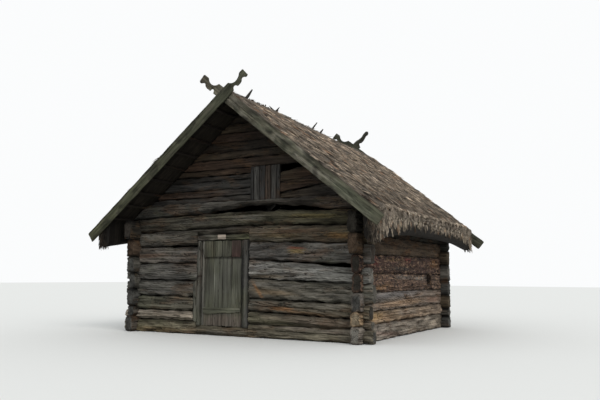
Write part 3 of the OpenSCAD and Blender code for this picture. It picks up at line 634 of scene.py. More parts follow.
# Courses of the right wall: how far short the front end is, tints, the front end's tint, patches
right_courses = (
    (0.00, ((0.250, 0.215, 0.180), (0.200, 0.165, 0.125)), (0.230, 0.215, 0.185),
     [(-1.73, 0.20, 0.012, 0.10, 0, (0.015, 0.012, 0.010), 0.9),
      (-1.3, 0.10, 0.6, 0.04, -4, (0.180, 0.110, 0.085), 0.5)]),
    (0.02, ((0.320, 0.225, 0.140), (0.250, 0.195, 0.150)), (0.240, 0.190, 0.130),
     [(-1.9, 0.42, 0.40, 0.06, 2, (0.360, 0.235, 0.115), 0.7),
      (-1.73, 0.44, 0.012, 0.08, 0, (0.02, 0.014, 0.01), 0.9),
      (-0.2, 0.44, 0.6, 0.05, 0, (0.300, 0.255, 0.210), 0.6)]),
    (0.05, ((0.160, 0.140, 0.122), (0.180, 0.140, 0.110)), slate,
     [(-1.0, 0.78, 1.3, 0.045, 1, (0.200, 0.184, 0.176), 0.8),
      (-0.6, 0.62, 1.3, 0.06, 1, (0.370, 0.250, 0.160), 0.75),
      (1.4, 0.64, 0.5, 0.06, 0, (0.190, 0.110, 0.075), 0.6)]),
    (0.09, ((0.142, 0.089, 0.065), (0.112, 0.076, 0.059)), dark,
     # The vent's opening is painted near black right through the log, as painted shade inside it
     [((vent_front + vent_rear) / 2, vent_low + 0.10, 0.20, 0.11, 0, (0.004, 0.004, 0.004), 1.0),
      (-1.6, 0.92, 0.45, 0.05, 3, (0.230, 0.130, 0.060), 0.7),
      (-0.4, 1.10, 0.5, 0.035, 0, (0.230, 0.205, 0.180), 0.7),
      (0.55, 1.08, 0.35, 0.04, 0, (0.260, 0.240, 0.210), 0.7),
      (1.6, 1.0, 0.3, 0.09, 0, (0.110, 0.080, 0.062), 0.6)]),
    (0.04, ((0.086, 0.050, 0.039), (0.070, 0.043, 0.035)), dark,
     [(-1.9, 1.38, 0.18, 0.08, 0, (0.160, 0.050, 0.044), 0.8),
      (-0.9, 1.42, 0.35, 0.03, 0, (0.170, 0.105, 0.050), 0.7),
      (-0.2, 1.42, 0.16, 0.05, 0, (0.210, 0.060, 0.050), 0.75),
      (-0.6, 1.26, 0.6, 0.04, 0, (0.035, 0.032, 0.028), 0.8),
      (1.5, 1.40, 0.30, 0.09, 0, (0.180, 0.090, 0.036), 0.7)]),
    # The two top courses are painted dark, and their ends too, as painted shade under the eave
    (0.00, ((0.074, 0.052, 0.035), (0.072, 0.052, 0.036)), (0.080, 0.054, 0.036), ()),
    (0.03, (dark, dark), dark, ()))
logs = [side_log(row, 1, tints, short, end_tints=(end_tint, dark), spots=spots, **hewn)
        for row, (short, tints, end_tint, spots) in enumerate(right_courses)]
right_axes = ((0, 1, 0), (1, 0, 0), (0, 0, 1), (0, 0, 0))
left_axes = ((0, 1, 0), (-1, 0, 0), (0, 0, 1), (0, 0, 0))
bare_logs = logs[:vent_log] + logs[vent_log + 2:]
barked_logs = logs[vent_log:vent_log + 2]
assemble("right_side_logs", bare_logs, right_axes, (log_wood_y, log_ends), "right_wall")
assemble("right_side_barked_logs", barked_logs, right_axes, (log_bark, log_ends), "right_wall")

# Courses of the left wall: how far short the front end is, tints, the front end's tint. The
# walls that face away have coarser rings and more painted shade along their joints
coarse = dict(crown=round_back, spacing=0.045, points=(20, 5, 4), wave=0.010)
left_courses = (
    (0.0, (grey, olive), slate), (0.05, (grey, brown), slate), (0.02, (slate, grey), slate),
    (0.06, (grey, grey), slate), (0.0, (grey, slate), slate),
    (0.03, ((0.088, 0.060, 0.042), grey), (0.066, 0.044, 0.030)),
    # The top course is painted dark, as painted shade under the eave
    (0.0, (dark, dark), (0.045, 0.038, 0.032)))
logs = [side_log(row, -1, tints, short, splits=14, grime=0.85, end_tints=(end_tint, dark), **coarse)
        for row, (short, tints, end_tint) in enumerate(left_courses)]
assemble("left_side_logs", logs, left_axes, (log_wood_y, log_ends), "left_wall")


# Rear wall: the same logs without a door, notched over the side walls as in the front. Its top
# row is cut to the roof at both ends.
rear_rng = np.random.default_rng(23)
rear_x = (-wall_side, wall_side)
rear_axes = ((1, 0, 0), (0, 1, 0), (0, 0, 1), (0, 0, 0))
rear_depth = (wall_rear - log_t, wall_rear)
rear_rows = len(rear_seams) - 1
rear_overlap = 0.006
logs = []
for row in range(rear_rows):
    seats = [(x, *neck(at_corner(rear_seams, place), at_corner(side_seams, 1), row))
             for place, x in ((0, -corner), (1, corner))]
    under = shifted(seam(rear_seams, row, rear_x), -rear_overlap if row else 0)
    over = shifted(seam(rear_seams, row + 1, rear_x), rear_overlap)
    logs.append(timber((-log_end, log_end), under, over, rear_depth, rear_rng, seats=seats, splits=16,
                       lowest=0.0, grime=0.88, skew=cut_to_roof if row == rear_rows - 1 else None,
                       tints=((grey, slate), (olive, grey), (slate, brown))[row % 3], **coarse))
assemble("rear_logs", logs, rear_axes, (log_wood_x, log_ends), "rear_wall")


# Doorway: two oak posts stand in the sill and carry a low lintel. The left post is a natural
# crook that was left broad below, where the three lower logs meet it.
post_wood = wood_material("post_wood", 2, stains=0.2, mossy=0.35, bleach=0.4)
lintel_wood = wood_material("lintel_wood", 0, stains=0.2, mossy=0.5)
post_rng = np.random.default_rng(31)
upright_axes = ((0, 0, 1), (0, -1, 0), (1, 0, 0), (0, 0, 0))
doorway_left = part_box("door_post_left")[1].x
doorway_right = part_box("door_post_right")[0].x
lintel_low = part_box("lintel")[0].z
crook_heights = (0.235, 0.238, 0.985, 1.025)


def crook(s):
    """The left post's outer edge, broad between the inner two of these heights."""
    return np.interp(s, crook_heights, (post_left, foot_left, foot_left, post_left))


post = timber((threshold, lintel_low), crook, level(doorway_left), front_depth, post_rng,
              points=(16, 5, 4), splits=3, tints=((0.112, 0.106, 0.088), (0.094, 0.092, 0.078)),
              spots=[(1.096, -0.860, 0.020, 0.095, -17, (0.010, 0.009, 0.008), 0.95),
                     (1.5, -0.87, 0.34, 0.07, 0, (0.128, 0.122, 0.106), 0.6),
                     (0.62, -0.90, 0.34, 0.06, 0, (0.098, 0.094, 0.080), 0.5)])
assemble("left_post", [post], upright_axes, (post_wood, log_ends), "door_post_left")
post_grey = (0.064, 0.062, 0.056)
# The dark strip along the post's doorway side and the dark slit at its outer edge are painted shade of the
# gaps beside it
post = timber((threshold, lintel_low), level(doorway_right), level(post_right), front_depth, post_rng,
              points=(22, 5, 4), tints=(post_grey, post_grey),
              spots=[(1.0, doorway_right + 0.034, 1.1, 0.030, 0, (0.016, 0.015, 0.014), 0.85),
                     (1.0, doorway_right + 0.112, 1.1, 0.032, 0, (0.120, 0.114, 0.102), 0.6),
                     (1.0, post_right - 0.014, 1.1, 0.012, 0, (0.016, 0.015, 0.014), 0.8)])
assemble("right_post", [post], upright_axes, (post_wood, log_ends), "door_post_right")
beam = timber((post_left, post_right), level(lintel_low), level(lintel_top), front_depth, post_rng,
              points=(12, 5, 4), tints=(grey, olive),
              spots=[(-0.70, lintel_low + 0.012, 0.075, 0.016, -4, (0.008, 0.008, 0.007), 0.95)])
assemble("lintel_beam", [beam], front_axes, (lintel_wood, log_ends), "lintel")


# Door leaf: four upright boards pegged to two inner ledges, with four short cover boards at the
# top and a low rail. It turns on a round stile whose pivots sit in the sill and the lintel.
leaf_wood = wood_material("leaf_wood", 2, stains=0.15, mossy=0.35, bleach=0.2, checks=0.6, relief=0.004)
rail_wood = wood_material("rail_wood", 0, stains=0.1, mossy=0.4, bleach=0.2, checks=0.6, relief=0.004)
leaf_rng = np.random.default_rng(32)
leaf_low, leaf_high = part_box("door_boards")
cover_low, cover_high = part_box("door_covers")
leaf_depth = (-leaf_high.y, -leaf_low.y)
cover_depth = (-cover_high.y, -cover_low.y)
covers_foot = leaf_high.z - 0.296
rail_foot = leaf_low.z + 0.228
rail_top = leaf_low.z + 0.34
rail_rise = 0.07
board_gap = 0.002
board_pitch = (leaf_high.x - leaf_low.x + 2 * board_gap) / 4
cover_pitch = (cover_high.x - cover_low.x) / 4
sawn = dict(worn=0.003, wave=0.002, split_depth=0.004, grime=0.20)
leaf_tints = ((0.090, 0.088, 0.070), (0.100, 0.099, 0.080), (0.104, 0.102, 0.084), (0.092, 0.090, 0.072))
cover_tints = (((0.076, 0.074, 0.054), (0.082, 0.080, 0.058)),
               ((0.084, 0.082, 0.062), (0.080, 0.078, 0.058)),
               ((0.070, 0.068, 0.052), (0.076, 0.074, 0.056)),
               ((0.070, 0.042, 0.036), (0.066, 0.050, 0.042)))
boards = []
for i, tint in enumerate(leaf_tints):
    x = leaf_low.x + i * board_pitch
    middle = x + board_pitch / 2
    # The dark band just under the cover boards is a painted shadow
    patches = [(leaf_low.z + 0.10, middle, 0.13, 0.2, 0, (0.136, 0.112, 0.092), 0.85),
               (0.62, middle, 0.20, 0.2, 0, (0.112, 0.112, 0.082), 0.5),
               (covers_foot - 0.014, middle, 0.020, 0.2, 0, (0.016, 0.015, 0.013), 0.85)]
    boards.append(timber((leaf_low.z, leaf_high.z), level(x), level(x + board_pitch - board_gap),
                         leaf_depth, leaf_rng, points=(14, 4, 2), splits=5, tints=(tint, tint),
                         spots=patches, **sawn))
assemble("leaf_boards", boards, upright_axes, (leaf_wood, log_ends), "door_boards", "door")
covers = []
for i, tints in enumerate(cover_tints):
    x = cover_low.x + i * cover_pitch
    covers.append(timber((covers_foot + leaf_rng.uniform(-0.003, 0.004), leaf_high.z), level(x),
                         level(x + cover_pitch - board_gap), cover_depth, leaf_rng, points=(10, 4, 2),
                         splits=3, tints=tints, **sawn))
assemble("leaf_top_covers", covers, upright_axes, (leaf_wood, log_ends), "door_covers", "door")


def rail_under(s):
    """The rail's lower edge, which rises to the right in small steps."""
    return rail_foot + rail_rise * (s - cover_low.x) - 0.02 + 0.006 * np.sign(np.sin(14 * s))


rail = timber((cover_low.x, cover_high.x), rail_under, level(rail_top), cover_depth, leaf_rng,
              points=(10, 4, 2), splits=4, tints=((0.112, 0.112, 0.080), (0.124, 0.122, 0.092)), **sawn)
assemble("leaf_low_rail", [rail], front_axes, (rail_wood, log_ends), "door_covers", "door")


def dress(node_name, material):
    """Gives a node that stays as the frame has it its material."""
    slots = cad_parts[node_name].data.materials
    slots.clear()
    slots.append(material)


# The stile and ledges get a plain pale colour, as painted light that keeps the recessed stile from falling
# dark
for name, along in (("door_stile", 2), ("door_ledges", 0)):
    dress(name, wood_material(name + "_wood", along, stains=0.1, mossy=0.3,
                              base=lambda tree: (0.170, 0.162, 0.138, 1)))


# Notice over the door: a small bare plate of pale board, tacked flat to the lintel over the
# middle of the leaf.
notice_low = (-0.428, 1.793)
notice_high = (-0.247, 1.880)
notice_depth = (-wall_front - 0.002, -wall_front + 0.009)
notice = timber((notice_low[0], notice_high[0]), level(notice_low[1]), level(notice_high[1]),
                notice_depth, post_rng, points=(8, 4, 2), worn=0.002, wave=0.0006, splits=0, grime=0.1,
                tints=((0.40, 0.33, 0.27), (0.42, 0.35, 0.29)))
assemble("notice_plate", [notice], front_axes, (rail_wood, rail_wood))


# Floors: loose-laid boards on four joists in the room, and on three beams in the loft. They stay
# as the frame has them, in rough sawn wood with a tint of its own on each board.
def board_row(wood, axis, pitch):
    """Colour of sawn boards side by side along an axis, some darker and some lighter."""
    def base(tree):
        across = node(tree, "ShaderNodeSeparateXYZ", {0: object_place(tree)}).outputs[axis]
        board = reckon(tree, "FLOOR", times(tree, across, 1 / pitch))
        each = node(tree, "ShaderNodeTexWhiteNoise", {"W": board}, noise_dimensions="1D").outputs["Value"]
        return shaded(tree, wood, fade(tree, each, 0.0, 1.0, 0.6, 1.3))
    return base


floor_pitch = 0.2364
joist_pitch = 0.7
sawn_wood = dict(stains=0.3, mossy=0.05, bleach=0.3)
floor_wood = wood_material("floor_wood", 1, base=board_row((0.12, 0.09, 0.06), 0, floor_pitch), **sawn_wood)
beam_wood = wood_material("beam_wood", 1, base=board_row((0.09, 0.075, 0.055), 1, joist_pitch), **sawn_wood)
for name, wood in (("floor_boards", floor_wood), ("loft_boards", floor_wood),
                   ("floor_joists", beam_wood), ("loft_beams", beam_wood)):
    dress(name, wood)


# Gable: a log cut to the roof at both ends, rotten away underneath at the front, and cleft
# planks laid on it behind the face. The hatch to the loft is boarded up between two posts.
gable_rng = np.random.default_rng(41)
plank_low, plank_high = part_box("gable_planks_left")
planks_foot = plank_low.z
plank_depth = (-plank_high.y, -plank_low.y)
posts_low, posts_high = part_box("hatch_posts")
hatch_left = posts_low.x
hatch_right = posts_high.x
hatch_top = posts_high.z
gable_wood = wood_material("gable_plank_wood", 0, stains=0.45, mossy=0.10, bleach=0.2)
plank_looks = (gable_wood, log_ends)
gable_cut = (lambda z: -under_roof(z), under_roof)
# Painted shade that darkens the front gable's planks under the roof
painted_gable_shade = np.array((0.62, 0.60, 0.61))
tan = (0.104, 0.067, 0.046)
umber = (0.048, 0.040, 0.031)
rot_middle = 0.64
rot_half = 1.30
rot_depth = 0.11
fine_gap = 0.003


def rotten_under(s):
    """Lower edge of the front gable log, hollowed by rot."""
    hollow = rot_depth * np.clip(1 - ((s - rot_middle) / rot_half) ** 2, 0, 1)
    ragged = 0.010 * np.sin(9 * s) + 0.006 * np.sin(23 * s + 1)
    return seam(front_seams, -1, front_x)(s) + 0.006 + hollow + ragged * (hollow > 0)


log = timber((-wall_side, wall_side), rotten_under, level(planks_foot - fine_gap), front_depth, gable_rng,
             crown=round_back, splits=18, wave=0.009, tints=((0.054, 0.053, 0.047), (0.080, 0.066, 0.054)),
             spots=[(1.7, 2.44, 0.5, 0.05, 0, (0.030, 0.026, 0.022), 0.7),
                    (-0.3, 2.500, 1.3, 0.028, 0, (0.092, 0.086, 0.074), 0.75),
                    # The two near-black strips along its lower edge are painted shade in the gap the rot
                    # has left
                    (-1.15, 2.315, 0.28, 0.020, -2, (0.008, 0.008, 0.007), 0.95),
                    (-0.62, 2.335, 0.34, 0.034, 3, (0.008, 0.008, 0.007), 0.95)], skew=gable_cut)
assemble("front_gable_log", [log], front_axes, (log_wood_x, log_ends), "gable_log_front")
rear_log_foot = 2.268
log = timber((-wall_side, wall_side), level(rear_log_foot), level(planks_foot - fine_gap), rear_depth,
             gable_rng, crown=round_back, splits=14, wave=0.009, spacing=0.045, points=(18, 5, 4),
             tints=(slate, brown), skew=gable_cut)
assemble("rear_gable_log", [log], rear_axes, (log_wood_x, log_ends), "gable_log_rear")


def plank(x0, x1, low, high, tints, skew):
    """A cleft plank of the front gable, darkened all over as painted shade under the roof."""
    return timber((x0, x1), low, high, plank_depth, gable_rng, points=(14, 4, 2), spacing=0.04, worn=0.006,
                  wave=0.007, split_depth=0.010, tints=[painted_gable_shade * tint for tint in tints], grime=0.6,
                  skew=skew)


def tilted(height, tilt):
    """An edge a little out of level."""
    return lambda s: height + tilt * s


# Planks left of the hatch, with chinks between them, each a little out of level
plank_chink = 0.004
left_planks = []
plank_seams = (0, 0.115, 0.245, 0.415, 0.520, hatch_top - planks_foot)
plank_tints = ((slate, grey), (tan, slate), (slate, slate), (dark, slate), (brown, tan))
for low, high, tints in zip(plank_seams, plank_seams[1:], plank_tints):
    tilt = gable_rng.uniform(-0.004, 0.008)
    left_planks.append(plank(-under_roof(planks_foot + (low + high) / 2), hatch_left,
                             tilted(planks_foot + low + plank_chink, tilt),
                             tilted(planks_foot + high - plank_chink, tilt),
                             tints, (gable_cut[0], level(hatch_left))))
assemble("left_gable_planks", left_planks, front_axes, plank_looks, "gable_planks_left")

# Planks right of the hatch have slipped: heights of their lower and upper edges over the gable
# log, each at the hatch and some way along
slip_run = 1.5
slipped = ((0.003, 0.003, 0.097, 0.297), (0.130, 0.322, 0.303, 0.508), (0.311, 0.516, 0.495, 0.711))


def slipped_edge(near, far):
    """Edge of a plank from its height at the hatch to its height further along."""
    return lambda s: planks_foot + near + (far - near) * (s - hatch_right) / slip_run


def below_hatch_top(edge):
    """An edge, cut off level below the planks over the hatch."""
    return lambda s: np.minimum(edge(s), hatch_top - plank_chink)


right_planks = []
right_tints = ((brown, slate), (tan, dark), (brown, tan))
for (near_low, far_low, near_high, far_high), tints in zip(slipped, right_tints):
    middle = planks_foot + (near_low + near_high + far_low + far_high) / 4
    right_planks.append(plank(hatch_right, under_roof(middle), slipped_edge(near_low, far_low),
                              below_hatch_top(slipped_edge(near_high, far_high)), tints,
                              (level(hatch_right), under_roof)))
assemble("right_gable_planks", right_planks, front_axes, plank_looks, "gable_planks_right")

# Planks over the hatch, right across to the roof
top_planks = []
plank_seams = (0, 0.190, 0.340, 0.515, 0.690, 0.860, 1.06)
top_tints = ((tan, umber), (brown, umber), (umber, umber))
for row, (low, high) in enumerate(zip(plank_seams, plank_seams[1:])):
    reach = under_roof(hatch_top + (low + high) / 2)
    top_planks.append(plank(-reach, reach, level(hatch_top + low + (fine_gap if row else 0.005)),
                            level(hatch_top + high - fine_gap), top_tints[row % 3], gable_cut))
assemble("top_gable_planks", top_planks, front_axes, plank_looks, "gable_planks_top")

# Hatch: two posts, and four cleft boards nailed between them
hatch_wood = wood_material("hatch_wood", 2, stains=0.4, mossy=0.05, bleach=0.6)
hatch_low, hatch_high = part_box("hatch_boards")
post_w = 0.070
post_dark = (0.045, 0.043, 0.040)
post_depth = (plank_depth[0], -posts_low.y)
posts = [timber((planks_foot, hatch_top), level(x), level(x + post_w), post_depth, gable_rng,
                points=(8, 4, 3), worn=0.006, wave=0.004, splits=4, tints=(post_dark, post_dark))
         for x in (hatch_left, hatch_right - post_w)]
assemble("hatch_side_posts", posts, upright_axes, (hatch_wood, log_ends), "hatch_posts")
boards = []
hatch_pitch = (hatch_right - hatch_left - 2 * post_w) / 4
hatch_tints = ((0.095, 0.090, 0.082), (0.042, 0.040, 0.038), (0.058, 0.044, 0.035), (0.062, 0.058, 0.052))
for i, tint in enumerate(hatch_tints):
    x = hatch_left + post_w + i * hatch_pitch
    boards.append(timber((hatch_low.z, hatch_high.z), level(x + fine_gap),
                         level(x + hatch_pitch - fine_gap), (-hatch_high.y, -hatch_low.y), gable_rng,
                         points=(10, 4, 2), worn=0.004, wave=0.003, splits=5, split_depth=0.006,
                         tints=(tint, tint)))
assemble("hatch_cleft_boards", boards, upright_axes, (hatch_wood, log_ends), "hatch_boards")

# Rear gable: planks right across, without a hatch
rear_planks = []
rear_low, rear_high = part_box("rear_gable_planks")
plank_h = 0.178
apex_gap = 0.05
lap = 0.004
count = int((rear_high.z - planks_foot) / plank_h)
for i in range(count):
    low = planks_foot + i * plank_h
    high = low + plank_h if i < count - 1 else rear_high.z - apex_gap
    reach = under_roof((low + high) / 2)
    tints = ((slate, grey), (grey, brown))[i % 2]
    rear_planks.append(timber((-reach, reach), level(low - lap), level(high + lap),
                              (rear_low.y, rear_high.y), gable_rng, points=(10, 4, 2), spacing=0.06,
                              worn=0.005, wave=0.005, splits=6, grime=0.8, tints=tints, skew=gable_cut))
assemble("rear_gable_cleft_planks", rear_planks, rear_axes, plank_looks, "rear_gable_planks")


# Roof poles: round rafters with the bark left on, paired over the walls, a ridge pole in their
# crotches and nine battens a side, which carry the thatch out over the gables.
roof_angle = math.atan(roof_slope)


def bark_material(name, along, lean=0.0):
    """Dark bark of a pole."""
    return wood_material(name, along, stains=0.4, mossy=0.1, bleach=0.2, checks=0.6, lean=lean,
                         base=lambda tree: (0.021, 0.017, 0.014, 1))


batten_bark = bark_material("batten_bark", 1)
for name, bark in (("rafters_left", bark_material("left_rafter_bark", 0, roof_angle)),
                   ("rafters_right", bark_material("right_rafter_bark", 0, -roof_angle)),
                   ("ridge_pole", batten_bark), ("battens_left", batten_bark),
                   ("battens_right", batten_bark)):
    dress(name, bark)


# Thatch: rye straw laid in thick overlapping bundles and bound down on the battens. The rain has
# worn it into ragged tufts. At the eaves it is left to hang over the ends of the wall logs.
thatch_rng = np.random.default_rng(51)
thatch_low, thatch_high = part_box("thatch_right")
eave_r = 0.150
lip_r = 0.140
eave_x = thatch_high.x - eave_r
slope_run = eave_x + eave_r * math.sin(roof_angle)
slope_length = slope_run / math.cos(roof_angle)
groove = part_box("ridge_pole")[1].x
front_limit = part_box("bargeboard_front_left")[0].y + 0.004
rear_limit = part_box("bargeboard_rear_left")[1].y - 0.004
straw_light = np.array((0.275, 0.224, 0.168))
straw_mid = np.array((0.178, 0.145, 0.112))
straw_dark = np.array((0.060, 0.050, 0.040))
straw_red = np.array((0.190, 0.122, 0.080))
straw_palest = (0.44, 0.37, 0.29)
above_roof = 9.0
top_points = 60
shoulder = (42, 30, 18, 6)
lip = range(0, -180, -20)


def straw_material():
    """Old straw: every wisp has its own tint, with fine fibres down the slope."""
    material, tree, shader = new_material("thatch_straw", 0.9, 0.2)
    place = object_place(tree)
    fibre = grain_noise(tree, place, (14.0, 160.0, 14.0), 4.0, 0.6)
    cloud = grain_noise(tree, place, (3.0, 9.0, 3.0), 4.0, 0.65, 0.0, 5.0)
    strand = grain_noise(tree, place, (3.0, 44.0, 3.0), 4.0, 0.6, 0.0, 9.0)
    shade = times(tree, fade(tree, fibre, 0.25, 0.75, 0.70, 1.30),
                  fade(tree, cloud, 0.35, 0.65, 0.62, 1.30), fade(tree, strand, 0.32, 0.68, 0.60, 1.42))
    coat(tree, shader, shaded(tree, own_tint(tree), shade), fibre, 0.6, 0.004)
    return material


def surface_of(solid):
    """A node's surface, for rays to meet."""
    corners = [solid.matrix_world @ v.co for v in solid.data.vertices]
    return BVHTree.FromPolygons(corners, [tuple(face.vertices) for face in solid.data.polygons])


def met_by_ray(surface, start, heading):
    """Where a ray first meets the solid thatch of a slope."""
    return surface.ray_cast(Vector(start), Vector(heading))[0]


def top_of(surface, side, x, y):
    """Heights of a slope's upper face over places X, Y, with X taken from the ridge."""
    y = np.clip(y, thatch_low.y + 0.001, thatch_high.y - 0.001)
    starts = [(side * max(a, 0.001), b, above_roof) for a, b in zip(x, y)]
    return np.array([met_by_ray(surface, start, (0, 0, -1)).z for start in starts])


def under_of(surface, side, x, y):
    """Height of its lower face."""
    return met_by_ray(surface, (side * x, y, 0.0), (0, 0, 1)).z


def round_point(surface, side, centre, y, degrees):
    """Where the rounded eave lies, at an angle about a centre (x, z)."""
    across, up = math.cos(math.radians(degrees)), math.sin(math.radians(degrees))
    point = met_by_ray(surface, (side * (centre[0] + across), y, centre[1] + up), (-side * across, 0, -up))
    return side * point.x, point.z


def end_view(surface, side, y):
    """Points round the thatch of a slope, cut across at y.

    They run over its top, round the eave and the lip that hangs from it, and back underneath to
    the ridge pole's groove.
    """
    here = min(max(y, thatch_low.y + 0.001), thatch_high.y - 0.001)
    places = np.linspace(0.001, slope_run - 0.002, top_points)
    points = list(zip(places, top_of(surface, side, places, np.full(top_points, here))))
    eave_z = points[-1][1] - eave_r * math.cos(roof_angle)
    lip_z = under_of(surface, side, eave_x, here) + lip_r
    points += [round_point(surface, side, (eave_x, eave_z), here, degrees) for degrees in shoulder]
    points += [round_point(surface, side, (eave_x, lip_z), here, degrees) for degrees in lip]
    inwards = [eave_x - lip_r + 0.001, *np.linspace(2.4, 0.3, 8),
               groove + 0.002, groove - 0.001, 0.012, 0.001]
    return points + [(x, under_of(surface, side, x, here)) for x in inwards]


def thatch_body(name, node_name, side, surface, rng):
    """The mass of straw on one slope, a little uneven on its upper face, with painted light at the top of
    the lip and painted shade under the eave and at its front end.
    """
    y = np.append(np.arange(thatch_low.y, thatch_high.y - 0.03, 0.06), thatch_high.y)
    outline = np.array([end_view(surface, side, place) for place in y])
    x, z = outline[:, :, 0], outline[:, :, 1]
    y = y[:, None]
    rings, around = x.shape
    place = np.arange(around)
    z = z + np.where(place < top_points, 0.007 * swell(rng, (0.30, 0.30))(y, x), 0)
    corners = np.stack([side * x, np.broadcast_to(y, x.shape), z], axis=-1).reshape(-1, 3)
    rims = [list(range(around))[::-1], list(range((rings - 1) * around, rings * around))]
    faces = [face if side < 0 else face[::-1] for face in skin(rings, around) + rims]
    lip_start = top_points + len(shoulder)
    under = lip_start + len(lip)
    # Painted light and shade: mid-tone on the slope, lightest at the top of the lip, near black from the
    # lip's foot along the underside, and half as bright at the front end of the eave
    shade = np.interp(place, (top_points - 1, top_points, lip_start - 1, lip_start, under, under + 1),
                      (0.5, 0.85, 1.0, 0.09, 0.09, 0.17))
    shade = shade * np.where((place >= top_points) & (y < thatch_low.y + 0.15), 0.5, 1)
    tints = (straw_mid * shade[:, :, None]).reshape(-1, 3)
    finished(name, (corners, faces, tints), [thatch_straw], node_name, sharp=60)


def wisps(roots, along, up, length, width, lift, tint, rng, waist=0.5, root_painted_shade=0.30):
    """Wisps of straw: closed three-sided spikes from a root along a direction, with lifted tips, painted
    dark at the root and light along the upper edge and tip.
    """
    count = len(roots)
    across = np.cross(up, along)
    length, width, lift = (np.broadcast_to(v, (count,))[:, None] for v in (length, width, lift))
    bend = rng.normal(0, 0.04, (count, 1)) * length
    middle = roots + along * length * waist + up * lift * waist * 1.1 + across * bend
    tip = roots + along * length + up * lift
    section = ((-0.5, 0.0), (0.5, 0.0), (0.0, 0.55))
    root_ring = [roots + across * width * a * 0.7 + up * width * (b - 0.3) for a, b in section]
    middle_ring = [middle + across * width * a + up * width * (b - 0.2) for a, b in section]
    corners = np.stack(root_ring + middle_ring + [tip], axis=1).reshape(-1, 3)
    corners[:, 0] = np.clip(corners[:, 0], -thatch_high.x, thatch_high.x)
    corners[:, 1] = np.clip(corners[:, 1], front_limit, rear_limit)
    pattern = [(0, 1, 4, 3), (1, 2, 5, 4), (2, 0, 3, 5), (3, 4, 6), (4, 5, 6), (5, 3, 6), (2, 1, 0)]
    faces = [[7 * i + j for j in face] for i in range(count) for face in pattern]
    # Painted light and shade along each wisp: dark at the root, lighter on its upper edge and lightest at
    # the tip
    painted_light_and_shade = np.array((root_painted_shade, root_painted_shade, root_painted_shade + 0.1, 0.9, 0.9, 1.1, 1.3))
    tints = (tint[:, None, :] * painted_light_and_shade[None, :, None]).reshape(-1, 3)
    return corners, faces, tints


def straw_tint(rng, count, light_share, dark_share=0.15):
    """A colour for each tuft: mostly mid grey-brown, some pale, some dark, a few reddish."""
    pick = rng.uniform(0, 1, count)[:, None]
    tint = np.where(pick < light_share, straw_light, np.where(pick < 1 - dark_share, straw_mid, straw_dark))
    tint = np.where((pick > 0.5) & (pick < 0.56), straw_red, tint)
    return tint * np.exp(rng.normal(0, 0.16, (count, 1)))


def slope_tufts(surface, side, count, each, rng):
    """Tufts lying down the slope, each of some wisps that share a colour and a lift."""
    out = np.array((side * math.sin(roof_angle), 0, math.cos(roof_angle)))
    down = np.array((side * math.cos(roof_angle), 0, -math.sin(roof_angle)))
    y = rng.uniform(thatch_low.y + 0.02, thatch_high.y - 0.03, count)
    r = slope_length * rng.uniform(-0.012, 0.985, count)
    near_ridge = np.exp(-np.maximum(r, 0) / 1.6)
    streak = swell(rng, (0.12, 1.1))(y, r) * near_ridge
    clump = swell(rng, (0.20, 0.30))(y, r)
    drift = swell(rng, (0.7, 1.3))(y, r)
    tint = straw_tint(rng, count, 0.18) * np.exp(0.20 * clump + 0.55 * streak)[:, None]
    tint = tint * (1 + near_ridge[:, None] * np.array((0.03, -0.03, -0.06)))
    tint = tint * (1 - 0.28 * np.clip((r - slope_length + 1.2) / 0.6, 0, 1))[:, None]
    turn = 0.10 * drift + 0.42 * np.exp(-np.maximum(r, 0) / 0.7) + rng.normal(0, 0.10, count)
    lift = 0.010 + 0.030 * rng.beta(1.6, 2.2, count) + 0.006 * clump
    length = rng.uniform(0.13, 0.29, count) * (1 + 0.45 * near_ridge)
    pick = np.repeat(np.arange(count), each)
    total = len(pick)
    y = y[pick] + rng.uniform(-0.024, 0.024, total)
    r = r[pick] + rng.normal(0, 0.030, total)
    x = r * math.cos(roof_angle)
    z = top_of(surface, side, np.clip(x, 0, slope_run - 0.01), y)
    roots = np.stack([side * x, y, z], axis=1) - out * 0.010
    turn = turn[pick] + rng.normal(0, 0.09, total)
    along = down * np.cos(turn)[:, None] + np.array((0, 1.0, 0)) * np.sin(turn)[:, None]
    return wisps(roots, along, np.broadcast_to(out, roots.shape),
                 length[pick] * rng.uniform(0.7, 1.1, total), rng.uniform(0.010, 0.020, total),
                 lift[pick] * rng.uniform(0.6, 1.2, total),
                 tint[pick] * rng.uniform(0.60, 1.40, (total, 1)), rng, 0.6)


